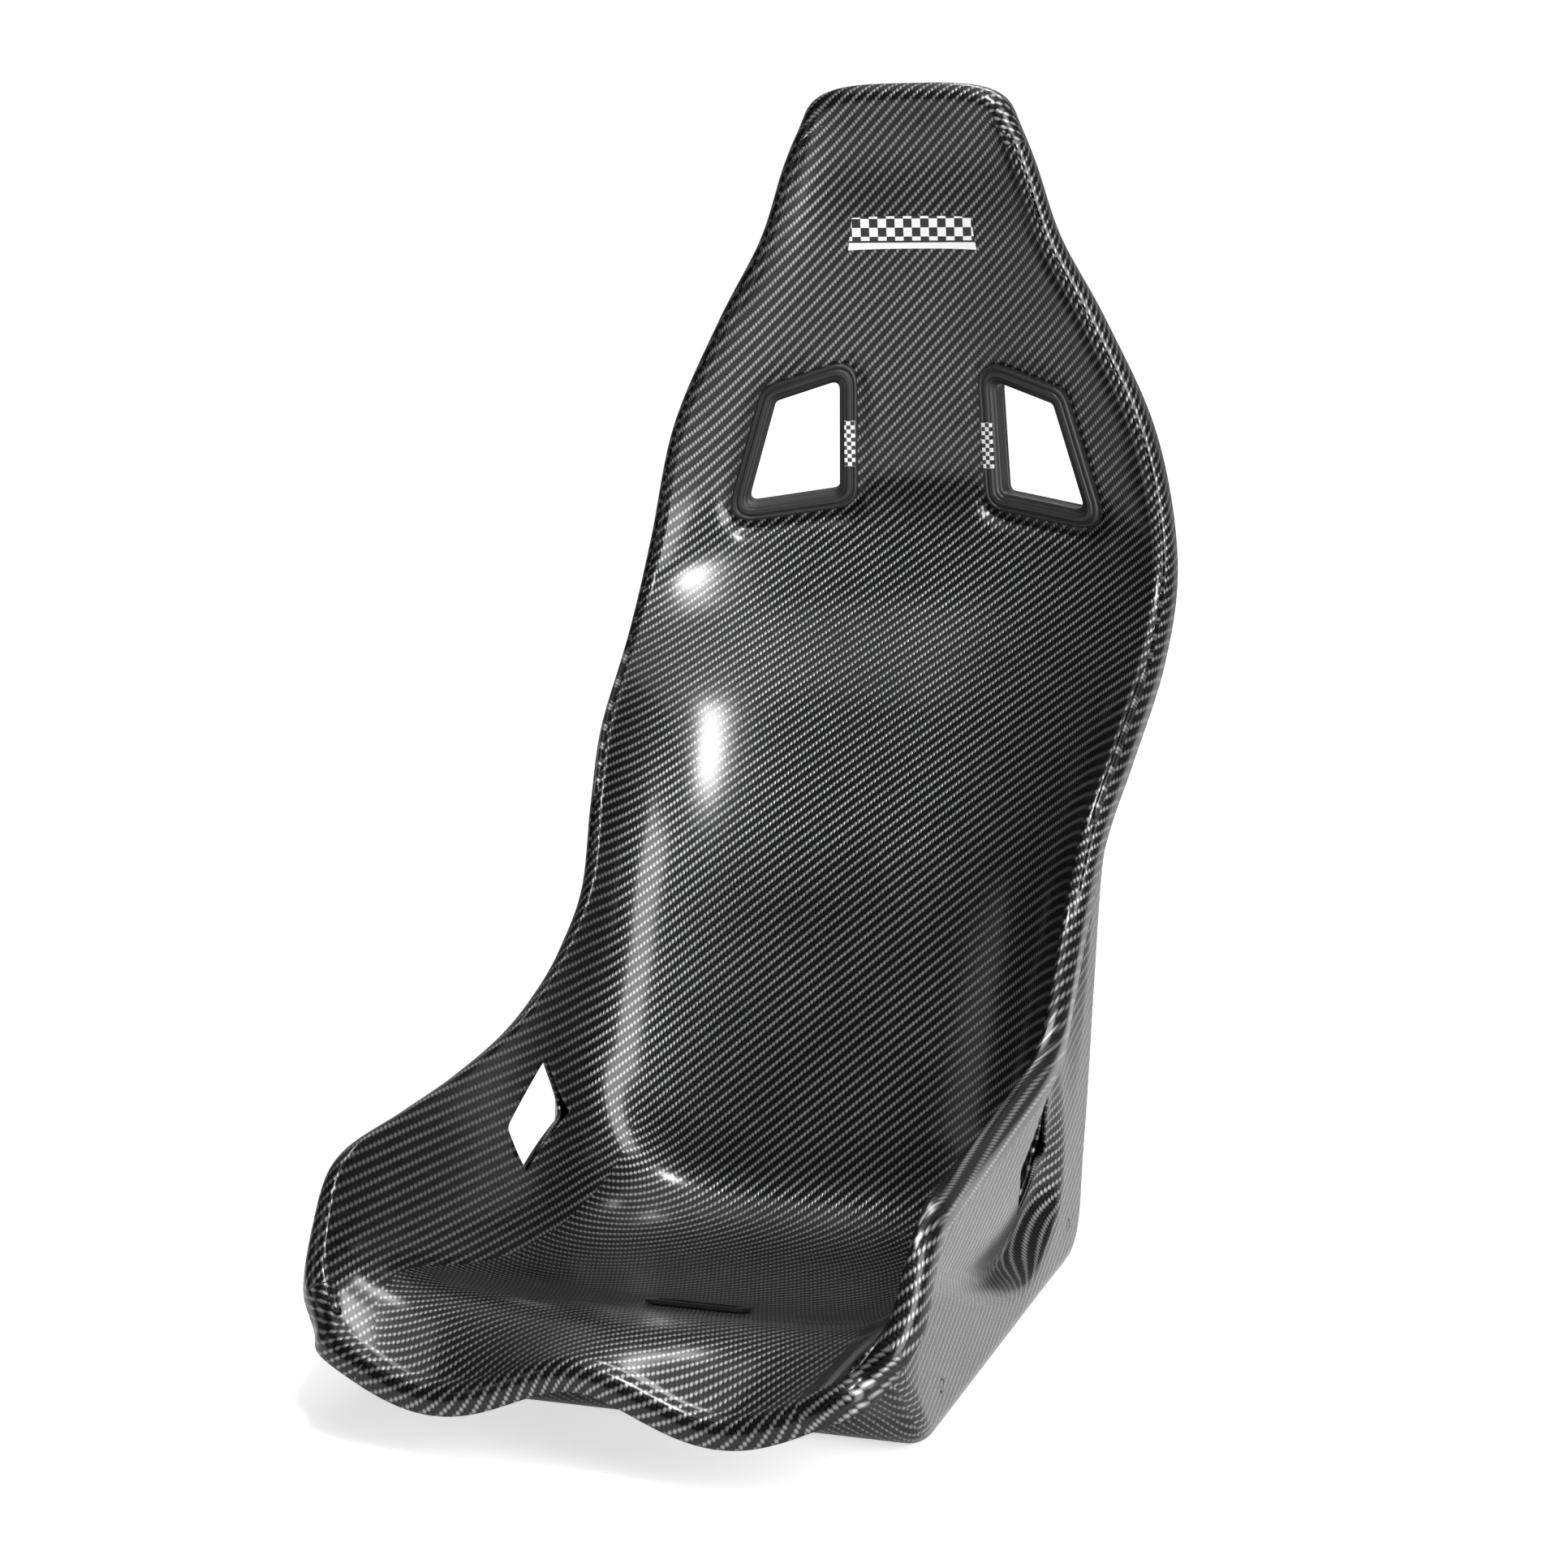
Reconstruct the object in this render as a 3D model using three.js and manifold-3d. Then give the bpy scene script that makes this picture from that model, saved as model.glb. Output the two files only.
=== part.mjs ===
// Carbon-fibre racing seat: a bare one-piece bucket made of a front laminate (the tub that
// holds the driver) and a rear laminate (the outer case that carries the side mounts).
// Millimetres, +Z up, the driver faces -Y.  The seat is built round its own datum (the front
// bottom corner of the side wall) and moved at the end, so that the middle of its bounding
// box stands over the origin and the base lies on z = 0.
import * as THREE from 'three';
import { mergeVertices } from 'three/addons/utils/BufferGeometryUtils.js';
import Module from 'manifold-3d';

const wasm = await Module();
wasm.setup();

// ---------------------------------------------------------------- driving dimensions
const LAMINATE = 3.0; // thickness of both laminates
const JOINT_GAP = 0.4; // clearance between neighbouring small pieces
const BOND_GAP = 0.8; // bond line between the two laminates

const RIM_WIDTH = 14; // rolled rim: how far it stands out from the tub wall
const RIM_DEPTH = 20; // rolled rim: how far its skirt runs back
const RIM_EXTRA = 5; // extra skirt depth round the waist and shoulders
const RIM_ROLL = 12; // rolled rim: depth taken up by the rounded part

const HUMP_DIP = 28; // how far the two leg hollows lie below the middle of the front lip
const HUMP_FADE = 3.5; // station at which the leg hollows have run out

// Stations along the seat from the front lip, over the pan and up the back to the head.
// Each row holds the centre line of the tub (y, z), the rim (half-width, y, z), the shape of
// the cross-section (squareness, outward lean of the walls as a share of the half-width) and
// the rear case (centre line y, z, half-width, corner radius).
const STATIONS = [
  [[-98, 78], [178, -81, 84], [4.0, 0.045], [-88, 93, 184, 14]],
  [[-66, 80], [195, -62, 112], [4.0, 0.045], [-62, 66, 199, 16]],
  [[-33, 79], [200, -36, 150], [4.5, 0.045], [-32, 34, 204, 18]],
  [[10, 71], [201, 0, 169], [5.0, 0.045], [2, 2, 204, 18]],
  [[95, 42], [199, 85, 172], [5.0, 0.045], [70, 0, 204, 18]],
  [[185, 18], [198, 170, 175], [4.5, 0.045], [180, 0, 204, 18]],
  [[285, 11], [198, 262, 184], [4.0, 0.045], [290, 0, 204, 18]],
  [[360, 28], [196, 325, 203], [3.2, 0.05], [393, 3, 204, 18]],
  [[395, 82], [192, 368, 230], [2.8, 0.06], [424, 60, 204, 28]],
  [[445, 175], [190, 408, 268], [2.6, 0.08], [470, 172, 204, 44]],
  [[505, 285], [196, 444, 328], [2.6, 0.12], [527, 284, 204, 56]],
  [[575, 385], [206, 494, 382], [2.5, 0.18], [597, 382, 212, 70]],
  [[645, 475], [212, 575, 447], [2.3, 0.26], [667, 470, 219, 80]],
  [[684, 550], [209, 621, 515], [2.2, 0.32], [697, 548, 216, 84]],
  [[679, 612], [190, 628, 605], [2.2, 0.32], [693, 620, 197, 80]],
  [[666, 700], [150, 630, 690], [2.4, 0.28], [683, 705, 157, 62]],
  [[656, 770], [113, 631, 756], [2.8, 0.24], [675, 770, 120, 46]],
  [[650, 830], [92, 631, 815], [3.2, 0.2], [667, 832, 98, 34]],
  [[633, 871], [76, 633, 852], [3.5, 0.1], [640, 866, 82, 20]],
];
const LAST = STATIONS.length - 1;
const PAN_END = 6; // station up to which the rim skirt points straight down
const BACK_START = 13; // station from which the rim skirt points straight back

const CASE_INSET = 6; // the case wall meets the rim this far outside the tub wall
const SIDE_FACE = 204; // the flat side faces stand this far from the middle
const FLARE_START = 9; // station above which the case widens towards the shoulders

const ROWS = 36; // facets along the seat
const COLUMNS = 22; // facets across the tub
const REAR_COLUMNS = 9; // facets across half of the rear case: wall, corner and flat
const ROLL_STEPS = 3; // facets round the rolled rim
const SLIVER = 0.25; // slivers thinner than this are cleaned off the two laminates

// Shoulder-harness openings: centre of the right one and its turn, then the outline in its
// own plane (across, up), inner edge first.
const HARNESS_CENTRE = [99, 664, 593];
const HARNESS_YAW = THREE.MathUtils.degToRad(16);
const HARNESS_LEAN = THREE.MathUtils.degToRad(6.5);
const HARNESS_OUTLINE = [[-32, 53], [21, 36], [46, -50], [-31, -39]];
const HARNESS_RADIUS = 6;
const BEZEL_LAND = 15; // width of the plastic ring round the opening
const BEZEL_CORNER = 19; // outer corner radius of the ring
const BEZEL_PROUD = 5; // its front face above the harness plane
const BEZEL_THROAT = 2.2; // wall of the sleeve that lines the opening
const LAND_DEPTH = 3.2; // flat land in the tub below the harness plane
const LAND_MARGIN = 1.4; // land beyond the ring
const BADGE_ACROSS = [-44.5, -35.5]; // badge plate in the harness plane, inner side
const BADGE_UP = [-18, 20];
const REAR_RING_THICK = 5;
const SCREW_RADIUS = 2;
const SCREW_HEAD_RADIUS = 3.9;
const SCREW_HEAD_HEIGHT = 2.6;
const SCREW_TIP = 1.5; // height of the screw tip above the harness plane

// Lap-belt openings in the side walls, corners in (y, z).
const LAP_OUTLINE = [[236, 116], [253, 76], [334, 102], [316, 151]];
const LAP_RADIUS = 5;

// Recess pressed into each side wall round the lap-belt opening, in (y, z).
const POCKET_OUTLINE = [
  [7, 106], [64, 83], [136, 57], [205, 39], [251, 33], [298, 44], [332, 66], [344, 111], [340, 172],
];
const POCKET_TOP = 260;

// Crotch-strap slot in the pan, behind the front crest.
const CROTCH_Y = 118;
const CROTCH_LENGTH = 62; // across the seat
const CROTCH_WIDTH = 20;
const CROTCH_TRIM = 6;

// Threaded inserts in the side walls (y, z), flush with the side faces, and the steel plates
// behind them.
const INSERT_Z = 36;
const INSERT_FRONT_Y = 22;
const INSERT_REAR_Y = 366;
const INSERT_BORE = 3.4; // M8 tapping size
const INSERT_BARREL = 5.2;
const INSERT_FLANGE = 8; // flange behind the anchor plate
const INSERT_FLANGE_THICK = 2;
const PLATE_THICK = 4;
const PLATE_GAP = 0.3;
const PLATE_LENGTH = 30;
const PLATE_HEIGHT = 28;

// Thin label strip across the head: middle and half-height in stations, half-width as a
// share of the tub.
const STRIP_STATION = 15.95;
const STRIP_HALF_HEIGHT = 0.2;
const STRIP_ACROSS = 0.5;
const STRIP_LOW = 0.7; // gap under the strip at its middle, left by the facets
const STRIP_HIGH = 1.1;

// ---------------------------------------------------------------- small helpers
const clamp01 = (value) => Math.min(1, Math.max(0, value));
const smooth = (value) => {
  const t = clamp01(value);
  return t * t * (3 - 2 * t);
};
const mix = (a, b, share) => a + (b - a) * share;

// Value of a list of station numbers at a fractional station, through a smooth curve.
function along(values, station) {
  const start = Math.min(LAST - 1, Math.max(0, Math.floor(station)));
  const share = station - start;
  const b = values[start];
  const c = values[start + 1];
  const a = start > 0 ? values[start - 1] : 2 * b - c;
  const d = start + 2 <= LAST ? values[start + 2] : 2 * c - b;
  const slopeB = (c - a) / 2;
  const slopeC = (d - b) / 2;
  const s2 = share * share;
  const s3 = s2 * share;
  return (
    (2 * s3 - 3 * s2 + 1) * b + (s3 - 2 * s2 + share) * slopeB
    + (-2 * s3 + 3 * s2) * c + (s3 - s2) * slopeC
  );
}

const column = (group, item) => STATIONS.map((station) => station[group][item]);
const CENTRE_Y = column(0, 0);
const CENTRE_Z = column(0, 1);
const RIM_X = column(1, 0);
const RIM_Y = column(1, 1);
const RIM_Z = column(1, 2);
const SQUARE = column(2, 0);
const LEAN = column(2, 1);
const REAR_Y = column(3, 0);
const REAR_Z = column(3, 1);
const REAR_X = column(3, 2);
const REAR_CORNER = column(3, 3);

// Cross-section of the tub: share of the half-width and share of the depth for a position
// across it (0 in the middle, 1 at the rim).
function section(across, station) {
  const half = along(RIM_X, station);
  const depth = Math.hypot(
    along(RIM_Y, station) - along(CENTRE_Y, station),
    along(RIM_Z, station) - along(CENTRE_Z, station),
  );
  const bend = half / (half + depth);
  const power = along(SQUARE, station);
  if (across <= bend) {
    const ratio = across / bend;
    const length = (1 + ratio ** power) ** (1 / power);
    return [ratio / length, 1 - 1 / length];
  }
  const ratio = (1 - across) / (1 - bend);
  const length = (1 + ratio ** power) ** (1 / power);
  return [1 / length, 1 - ratio / length];
}

// Point on the driver's side of the tub. station 0..LAST, across -1..1.
function tubPoint(station, across) {
  const [wide, deep] = section(Math.abs(across), station);
  const half = along(RIM_X, station);
  const lean = along(LEAN, station);
  const x = Math.sign(across) * half * ((1 - lean) * wide + lean * deep);
  const hollow = Math.sin((Math.PI * Math.min(1.18, wide)) / 1.18) ** 2 * (1 - deep);
  const fade = clamp01(1 - station / HUMP_FADE) ** 2;
  return new THREE.Vector3(
    x,
    mix(along(CENTRE_Y, station), along(RIM_Y, station), deep),
    mix(along(CENTRE_Z, station), along(RIM_Z, station), deep) - HUMP_DIP * fade * hollow,
  );
}

// Direction in which the rim skirt runs at a station.
function skirtDirection(station) {
  const turn = -Math.PI / 2 * (1 - smooth((station - PAN_END) / (BACK_START - PAN_END)));
  return new THREE.Vector3(0, Math.cos(turn), Math.sin(turn));
}

// Share of the extra skirt depth at a station.
const waist = (station) => smooth((station - 5) / 3) * smooth((16.5 - station) / 3);

// Closed geometry between two copies of a surface, joined along the surface's edge.
function shellGeometry(outerPoints, innerPoints, faces, edgeLoop) {
  const count = outerPoints.length;
  const position = [];
  [...outerPoints, ...innerPoints].forEach((p) => position.push(p.x, p.y, p.z));
  const index = [];
  faces.forEach(([a, b, c]) => {
    index.push(a, b, c);
    index.push(count + a, count + c, count + b);
  });
  for (let i = 0; i < edgeLoop.length; i += 1) {
    const a = edgeLoop[i];
    const b = edgeLoop[(i + 1) % edgeLoop.length];
    index.push(b, a, count + a);
    index.push(b, count + a, count + b);
  }
  const geometry = new THREE.BufferGeometry();
  geometry.setAttribute('position', new THREE.Float32BufferAttribute(position, 3));
  geometry.setIndex(index);
  return geometry;
}

function vertexNormals(points, faces) {
  const normals = points.map(() => new THREE.Vector3());
  faces.forEach(([a, b, c]) => {
    const normal = points[b].clone().sub(points[a]).cross(points[c].clone().sub(points[a]));
    [a, b, c].forEach((i) => normals[i].add(normal));
  });
  return normals.map((n) => n.normalize());
}

function gridFaces(rows, columns) {
  const faces = [];
  for (let row = 0; row < rows; row += 1) {
    for (let column = 0; column < columns; column += 1) {
      const a = row * (columns + 1) + column;
      const b = a + 1;
      const c = a + columns + 2;
      const d = a + columns + 1;
      faces.push([a, b, c], [a, c, d]);
    }
  }
  return faces;
}

// Vertex numbers round the edge of a grid: front row, right side, top row, left side.
function gridEdge(rows, columns) {
  const loop = [];
  for (let column = 0; column < columns; column += 1) loop.push(column);
  for (let row = 0; row < rows; row += 1) loop.push(row * (columns + 1) + columns);
  for (let column = columns; column > 0; column -= 1) loop.push(rows * (columns + 1) + column);
  for (let row = rows; row > 0; row -= 1) loop.push(row * (columns + 1));
  return loop;
}

// The front laminate with its rolled rim; `thickness` lets the same shape be made a little
// thicker, as the keep-out for the rear case.
function frontShell(thickness) {
  const points = [];
  for (let row = 0; row <= ROWS; row += 1) {
    for (let column = 0; column <= COLUMNS; column += 1) {
      points.push(tubPoint((LAST * row) / ROWS, (2 * column) / COLUMNS - 1));
    }
  }
  const tubFaces = gridFaces(ROWS, COLUMNS);
  const edge = gridEdge(ROWS, COLUMNS);
  const tubCount = points.length;
  const stationOf = (vertex) => (LAST * Math.floor(vertex / (COLUMNS + 1))) / ROWS;

  const rimFaces = [];
  const rings = [edge];
  const frames = edge.map((vertex, i) => {
    const before = points[edge[(i + edge.length - 1) % edge.length]];
    const after = points[edge[(i + 1) % edge.length]];
    const tangent = after.clone().sub(before).normalize();
    const back = skirtDirection(stationOf(vertex));
    back.addScaledVector(tangent, -back.dot(tangent)).normalize();
    const outward = tangent.clone().cross(back).negate().normalize();
    return { back, outward };
  });
  const profile = [];
  for (let step = 1; step <= ROLL_STEPS; step += 1) {
    const turn = (Math.PI / 2) * (step / ROLL_STEPS);
    profile.push([RIM_WIDTH * Math.sin(turn), RIM_ROLL * (1 - Math.cos(turn)), 0]);
  }
  profile.push([RIM_WIDTH, RIM_DEPTH, RIM_EXTRA]);
  profile.forEach(([out, down, extra]) => {
    const ring = edge.map((vertex, i) => {
      const point = points[vertex].clone();
      const depth = down + extra * waist(stationOf(vertex));
      point.addScaledVector(frames[i].outward, out).addScaledVector(frames[i].back, depth);
      points.push(point);
      return points.length - 1;
    });
    const previous = rings[rings.length - 1];
    for (let i = 0; i < edge.length; i += 1) {
      const j = (i + 1) % edge.length;
      rimFaces.push([previous[j], previous[i], ring[i]], [previous[j], ring[i], ring[j]]);
    }
    rings.push(ring);
  });

  const tubNormals = vertexNormals(points, tubFaces);
  const rimNormals = vertexNormals(points, rimFaces);
  const onEdge = new Set(edge);
  const inner = points.map((point, vertex) => {
    const a = tubNormals[vertex];
    const b = rimNormals[vertex];
    if (onEdge.has(vertex)) {
      const miter = a.clone().add(b).divideScalar(1 + Math.max(-0.4, a.dot(b)));
      return point.clone().addScaledVector(miter, -thickness);
    }
    return point.clone().addScaledVector(vertex < tubCount ? a : b, -thickness);
  });
  const faces = [...tubFaces, ...rimFaces];
  return shellGeometry(points, inner, faces, rings[rings.length - 1]);
}

// Cross-section of the rear case on the right-hand side: straight wall, rounded corner, flat.
function rearPoint(station, share) {
  const width = along(REAR_X, station);
  const half = station < FLARE_START ? Math.min(SIDE_FACE, width) : width;
  const rimY = along(RIM_Y, station);
  const rimZ = along(RIM_Z, station);
  const floorY = along(REAR_Y, station);
  const floorZ = Math.max(0, along(REAR_Z, station));
  const depth = Math.hypot(floorY - rimY, floorZ - rimZ);
  const radius = along(REAR_CORNER, station);
  const drop = Math.min(radius, 0.9 * depth);
  const wallEnd = 1 - drop / depth;
  let x;
  let deep;
  if (share <= 3 / 9) {
    const top = Math.min(half, along(RIM_X, station) + CASE_INSET);
    x = mix(top, half, smooth(share * 5));
    deep = wallEnd * (share * 3);
  } else if (share <= 6 / 9) {
    const turn = (Math.PI / 2) * (share * 3 - 1);
    x = half - radius * (1 - Math.cos(turn));
    deep = mix(wallEnd, 1, Math.sin(turn));
  } else {
    x = (half - radius) * (3 - 3 * share);
    deep = 1;
  }
  return new THREE.Vector3(x, mix(rimY, floorY, deep), mix(rimZ, floorZ, deep));
}

function rearShell() {
  const points = [];
  const columns = 2 * REAR_COLUMNS;
  const frontStation = 0.62;
  const topStation = LAST - 0.2;
  const lidPoint = (station, across, lower) => {
    const point = tubPoint(station, across);
    const skirt = skirtDirection(station);
    const nudge = 5 * Math.sign(across) * smooth((Math.abs(across) - 0.8) / 0.2);
    return point.addScaledVector(skirt, lower).add(new THREE.Vector3(nudge, 0, 0));
  };
  for (let row = 0; row <= ROWS; row += 1) {
    for (let column = 0; column <= columns; column += 1) {
      const side = column < REAR_COLUMNS ? -1 : 1;
      const share = 1 - Math.abs(column / REAR_COLUMNS - 1);
      let point;
      if (row === 0 || row === ROWS) {
        point = lidPoint(row === 0 ? frontStation : topStation, side * (1 - share), 1.6);
      } else {
        const station = mix(frontStation + 0.1, topStation - 0.1, (row - 1) / (ROWS - 2));
        point = rearPoint(station, share);
        if (share === 0) point.addScaledVector(skirtDirection(station), 1.5);
        point.x *= side;
      }
      points.push(point);
    }
  }
  const faces = gridFaces(ROWS, columns).map(([a, b, c]) => [a, c, b]);
  const normals = vertexNormals(points, faces);
  const inner = points.map((p, i) => p.clone().addScaledVector(normals[i], -LAMINATE));
  const edge = gridEdge(ROWS, columns).reverse();
  return shellGeometry(points, inner, faces, edge);
}

// ---------------------------------------------------------------- solids and booleans
function solid(geometry) {
  const bare = geometry.clone();
  ['normal', 'uv', 'uv1'].forEach((name) => bare.deleteAttribute(name));
  const merged = mergeVertices(bare, 1e-4);
  return new wasm.Manifold(new wasm.Mesh({
    numProp: 3,
    vertProperties: new Float32Array(merged.attributes.position.array),
    triVerts: new Uint32Array(merged.index.array),
  }));
}

function largest(body) {
  const pieces = body.decompose();
  return pieces.reduce((best, piece) => (piece.volume() > best.volume() ? piece : best));
}

function toGeometry(body) {
  const mesh = body.getMesh();
  const geometry = new THREE.BufferGeometry();
  const position = new THREE.BufferAttribute(new Float32Array(mesh.vertProperties), 3);
  geometry.setAttribute('position', position);
  geometry.setIndex(new THREE.BufferAttribute(new Uint32Array(mesh.triVerts), 1));
  return geometry;
}

// Outline with rounded corners, as a three.js shape.
function roundedShape(corners, radius) {
  const shape = new THREE.Shape();
  corners.forEach((corner, i) => {
    const here = new THREE.Vector2(...corner);
    const before = new THREE.Vector2(...corners[(i + corners.length - 1) % corners.length]);
    const after = new THREE.Vector2(...corners[(i + 1) % corners.length]);
    const back = before.sub(here).normalize();
    const ahead = after.sub(here).normalize();
    const half = Math.acos(back.dot(ahead)) / 2;
    const reach = radius / Math.tan(half);
    const start = here.clone().addScaledVector(back, reach);
    const end = here.clone().addScaledVector(ahead, reach);
    if (i === 0) shape.moveTo(start.x, start.y);
    else shape.lineTo(start.x, start.y);
    shape.quadraticCurveTo(here.x, here.y, end.x, end.y);
  });
  shape.closePath();
  return shape;
}

// The corners moved outwards by a distance.
function grown(corners, distance) {
  const middle = new THREE.Vector2();
  corners.forEach((corner) => middle.add(new THREE.Vector2(...corner)));
  middle.divideScalar(corners.length);
  return corners.map((corner, i) => {
    const here = new THREE.Vector2(...corner);
    const before = new THREE.Vector2(...corners[(i + corners.length - 1) % corners.length]);
    const after = new THREE.Vector2(...corners[(i + 1) % corners.length]);
    const normals = [here.clone().sub(before), after.clone().sub(here)].map((side) => {
      const normal = new THREE.Vector2(side.y, -side.x).normalize();
      if (normal.dot(here.clone().sub(middle)) < 0) normal.negate();
      return normal;
    });
    const sum = normals[0].clone().add(normals[1]);
    const move = sum.multiplyScalar(distance / (1 + normals[0].dot(normals[1])));
    return [here.x + move.x, here.y + move.y];
  });
}

// Frame of a harness opening: x across the seat (outwards), y up, z towards the driver.
function harnessFrame(side) {
  const across = new THREE.Vector3(Math.cos(HARNESS_YAW), -Math.sin(HARNESS_YAW), 0);
  const up = new THREE.Vector3(0, -Math.sin(HARNESS_LEAN), Math.cos(HARNESS_LEAN));
  up.addScaledVector(across, -up.dot(across)).normalize();
  const front = new THREE.Vector3().crossVectors(across, up).normalize();
  const matrix = new THREE.Matrix4().makeBasis(across, up, front);
  matrix.setPosition(...HARNESS_CENTRE);
  if (side < 0) matrix.premultiply(new THREE.Matrix4().makeScale(-1, 1, 1));
  return matrix;
}

// A frame whose z runs along +X at a place on the right-hand side wall.
function sideFrame(side, y, z) {
  const matrix = new THREE.Matrix4().makeBasis(
    new THREE.Vector3(0, 1, 0), new THREE.Vector3(0, 0, 1), new THREE.Vector3(1, 0, 0),
  );
  matrix.setPosition(0, y, z);
  if (side < 0) matrix.premultiply(new THREE.Matrix4().makeScale(-1, 1, 1));
  return matrix;
}

// Prism on an outline, between two heights along the frame's z.  Geometry that its frame
// mirrors is turned right side out before it becomes a solid.
function prismAt(shape, low, high, side, matrix, steps = 3) {
  const geometry = new THREE.ExtrudeGeometry(shape, {
    depth: high - low, bevelEnabled: false, curveSegments: steps,
  });
  geometry.translate(0, 0, low);
  geometry.applyMatrix4(matrix);
  return solid(side < 0 ? flipped(geometry) : geometry);
}

function cylinderAt(radius, low, high, side, matrix, segments = 20) {
  const geometry = new THREE.CylinderGeometry(radius, radius, high - low, segments);
  geometry.rotateX(Math.PI / 2).translate(0, 0, (low + high) / 2);
  geometry.applyMatrix4(matrix);
  return solid(side < 0 ? flipped(geometry) : geometry);
}

function flipped(geometry) {
  const copy = mergeVertices(geometry.clone(), 1e-5);
  const order = copy.index.array;
  for (let i = 0; i < order.length; i += 3) {
    const keep = order[i + 1];
    order[i + 1] = order[i + 2];
    order[i + 2] = keep;
  }
  return copy;
}

// ---------------------------------------------------------------- finishes
const finish = (color, roughness, metalness) => (
  () => new THREE.MeshStandardMaterial({ color, roughness, metalness })
);
const carbon = finish(0x1b1c1e, 0.16, 0.1);
const plastic = finish(0x2b2c2e, 0.5, 0.0);
const label = finish(0xc9cacc, 0.45, 0.0);
const zinc = finish(0xb4b6b8, 0.32, 0.9);
const blackSteel = finish(0x34363a, 0.42, 0.7);

const seat = new THREE.Group();
seat.name = 'racing_seat';

function place(name, body, material) {
  const mesh = new THREE.Mesh(toGeometry(body), material());
  mesh.name = name;
  seat.add(mesh);
}

// ---------------------------------------------------------------- the two laminates
let front = solid(frontShell(LAMINATE));
const frontWithGap = solid(frontShell(LAMINATE + BOND_GAP));
const twoLaminates = solid(frontShell(2 * LAMINATE + BOND_GAP));
let rear = solid(rearShell());

// A block of material just under part of a surface, used to let recesses into the laminates.
function blockUnder(pointAt, rows, columns, shift) {
  const points = [];
  rows.forEach((station) => columns.forEach((place) => points.push(pointAt(station, place))));
  const under = points.map((point) => point.clone().add(shift));
  const faces = gridFaces(rows.length - 1, columns.length - 1);
  const edge = gridEdge(rows.length - 1, columns.length - 1);
  const block = solid(shellGeometry(points, under, faces, edge));
  return block.volume() > 0 ? block : solid(flipped(shellGeometry(points, under, faces, edge)));
}
const steps = (from, to, count) => (
  Array.from({ length: count + 1 }, (_, i) => mix(from, to, i / count))
);
const backRows = steps(11.5, 16.8, 14);
const behindTub = blockUnder(
  tubPoint, backRows, steps(-0.94, 0.94, 22), new THREE.Vector3(0, 45, 0),
);
const insideCase = blockUnder(
  (station, place) => {
    const point = rearPoint(station, 1 - Math.abs(place));
    point.x *= Math.sign(place);
    return point;
  },
  backRows, steps(-0.66, 0.66, 18), new THREE.Vector3(0, -60, 0),
);

// ---------------------------------------------------------------- side recesses, lap belts
const pocketCurve = new THREE.SplineCurve(POCKET_OUTLINE.map(([y, z]) => new THREE.Vector2(y, z)));
const pocketOutline = [
  ...pocketCurve.getPoints(18).map((p) => [p.x, p.y]),
  [POCKET_OUTLINE[POCKET_OUTLINE.length - 1][0], POCKET_TOP],
  [POCKET_OUTLINE[0][0], POCKET_TOP],
];
const plainShape = (outline) => new THREE.Shape(outline.map((p) => new THREE.Vector2(...p)));
const lapShape = roundedShape(LAP_OUTLINE, LAP_RADIUS);
[-1, 1].forEach((side) => {
  const frame = sideFrame(side, 0, 0);
  const wallBlock = blockUnder(
    (station, place) => {
      const point = rearPoint(station, place);
      point.x *= side;
      return point;
    },
    steps(2.6, 8.6, 16), steps(0, 1 / 3, 2), new THREE.Vector3(-34 * side, 0, 0),
  );
  const pan = prismAt(plainShape(grown(pocketOutline, LAMINATE)), 150, 240, side, frame);
  const hollow = prismAt(plainShape(pocketOutline), 150, 240, side, frame);
  rear = rear.add(pan.intersect(wallBlock)).subtract(hollow.subtract(twoLaminates));
});
rear = largest(rear.subtract(frontWithGap));
[-1, 1].forEach((side) => {
  const lap = prismAt(lapShape, 150, 240, side, sideFrame(side, 0, 0));
  front = front.subtract(lap);
  rear = rear.subtract(lap);
});

// ---------------------------------------------------------------- shoulder-harness openings
const openingShape = roundedShape(HARNESS_OUTLINE, HARNESS_RADIUS);
const sleeveShape = roundedShape(grown(HARNESS_OUTLINE, BEZEL_THROAT), HARNESS_RADIUS + 2);
const cutShape = roundedShape(
  grown(HARNESS_OUTLINE, BEZEL_THROAT + JOINT_GAP), HARNESS_RADIUS + 2 + JOINT_GAP,
);
const ringShape = roundedShape(grown(HARNESS_OUTLINE, BEZEL_LAND), BEZEL_CORNER);
const landShape = roundedShape(grown(HARNESS_OUTLINE, BEZEL_LAND + LAND_MARGIN), BEZEL_CORNER + 2);
const landWall = roundedShape(
  grown(HARNESS_OUTLINE, BEZEL_LAND + LAND_MARGIN + LAMINATE), BEZEL_CORNER + 5,
);
const grooveOuter = roundedShape(grown(HARNESS_OUTLINE, BEZEL_LAND - 3), BEZEL_CORNER - 2);
const grooveInner = roundedShape(grown(HARNESS_OUTLINE, BEZEL_LAND - 5.5), BEZEL_CORNER - 4);
const rearLand = LAND_DEPTH + 2 * LAMINATE + BOND_GAP;
const screwPlaces = HARNESS_OUTLINE.map((corner, i, all) => {
  const outer = grown(all, BEZEL_LAND / 2 + 0.5);
  const next = outer[(i + 1) % all.length];
  return [(outer[i][0] + next[0]) / 2, (outer[i][1] + next[1]) / 2];
});

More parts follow.
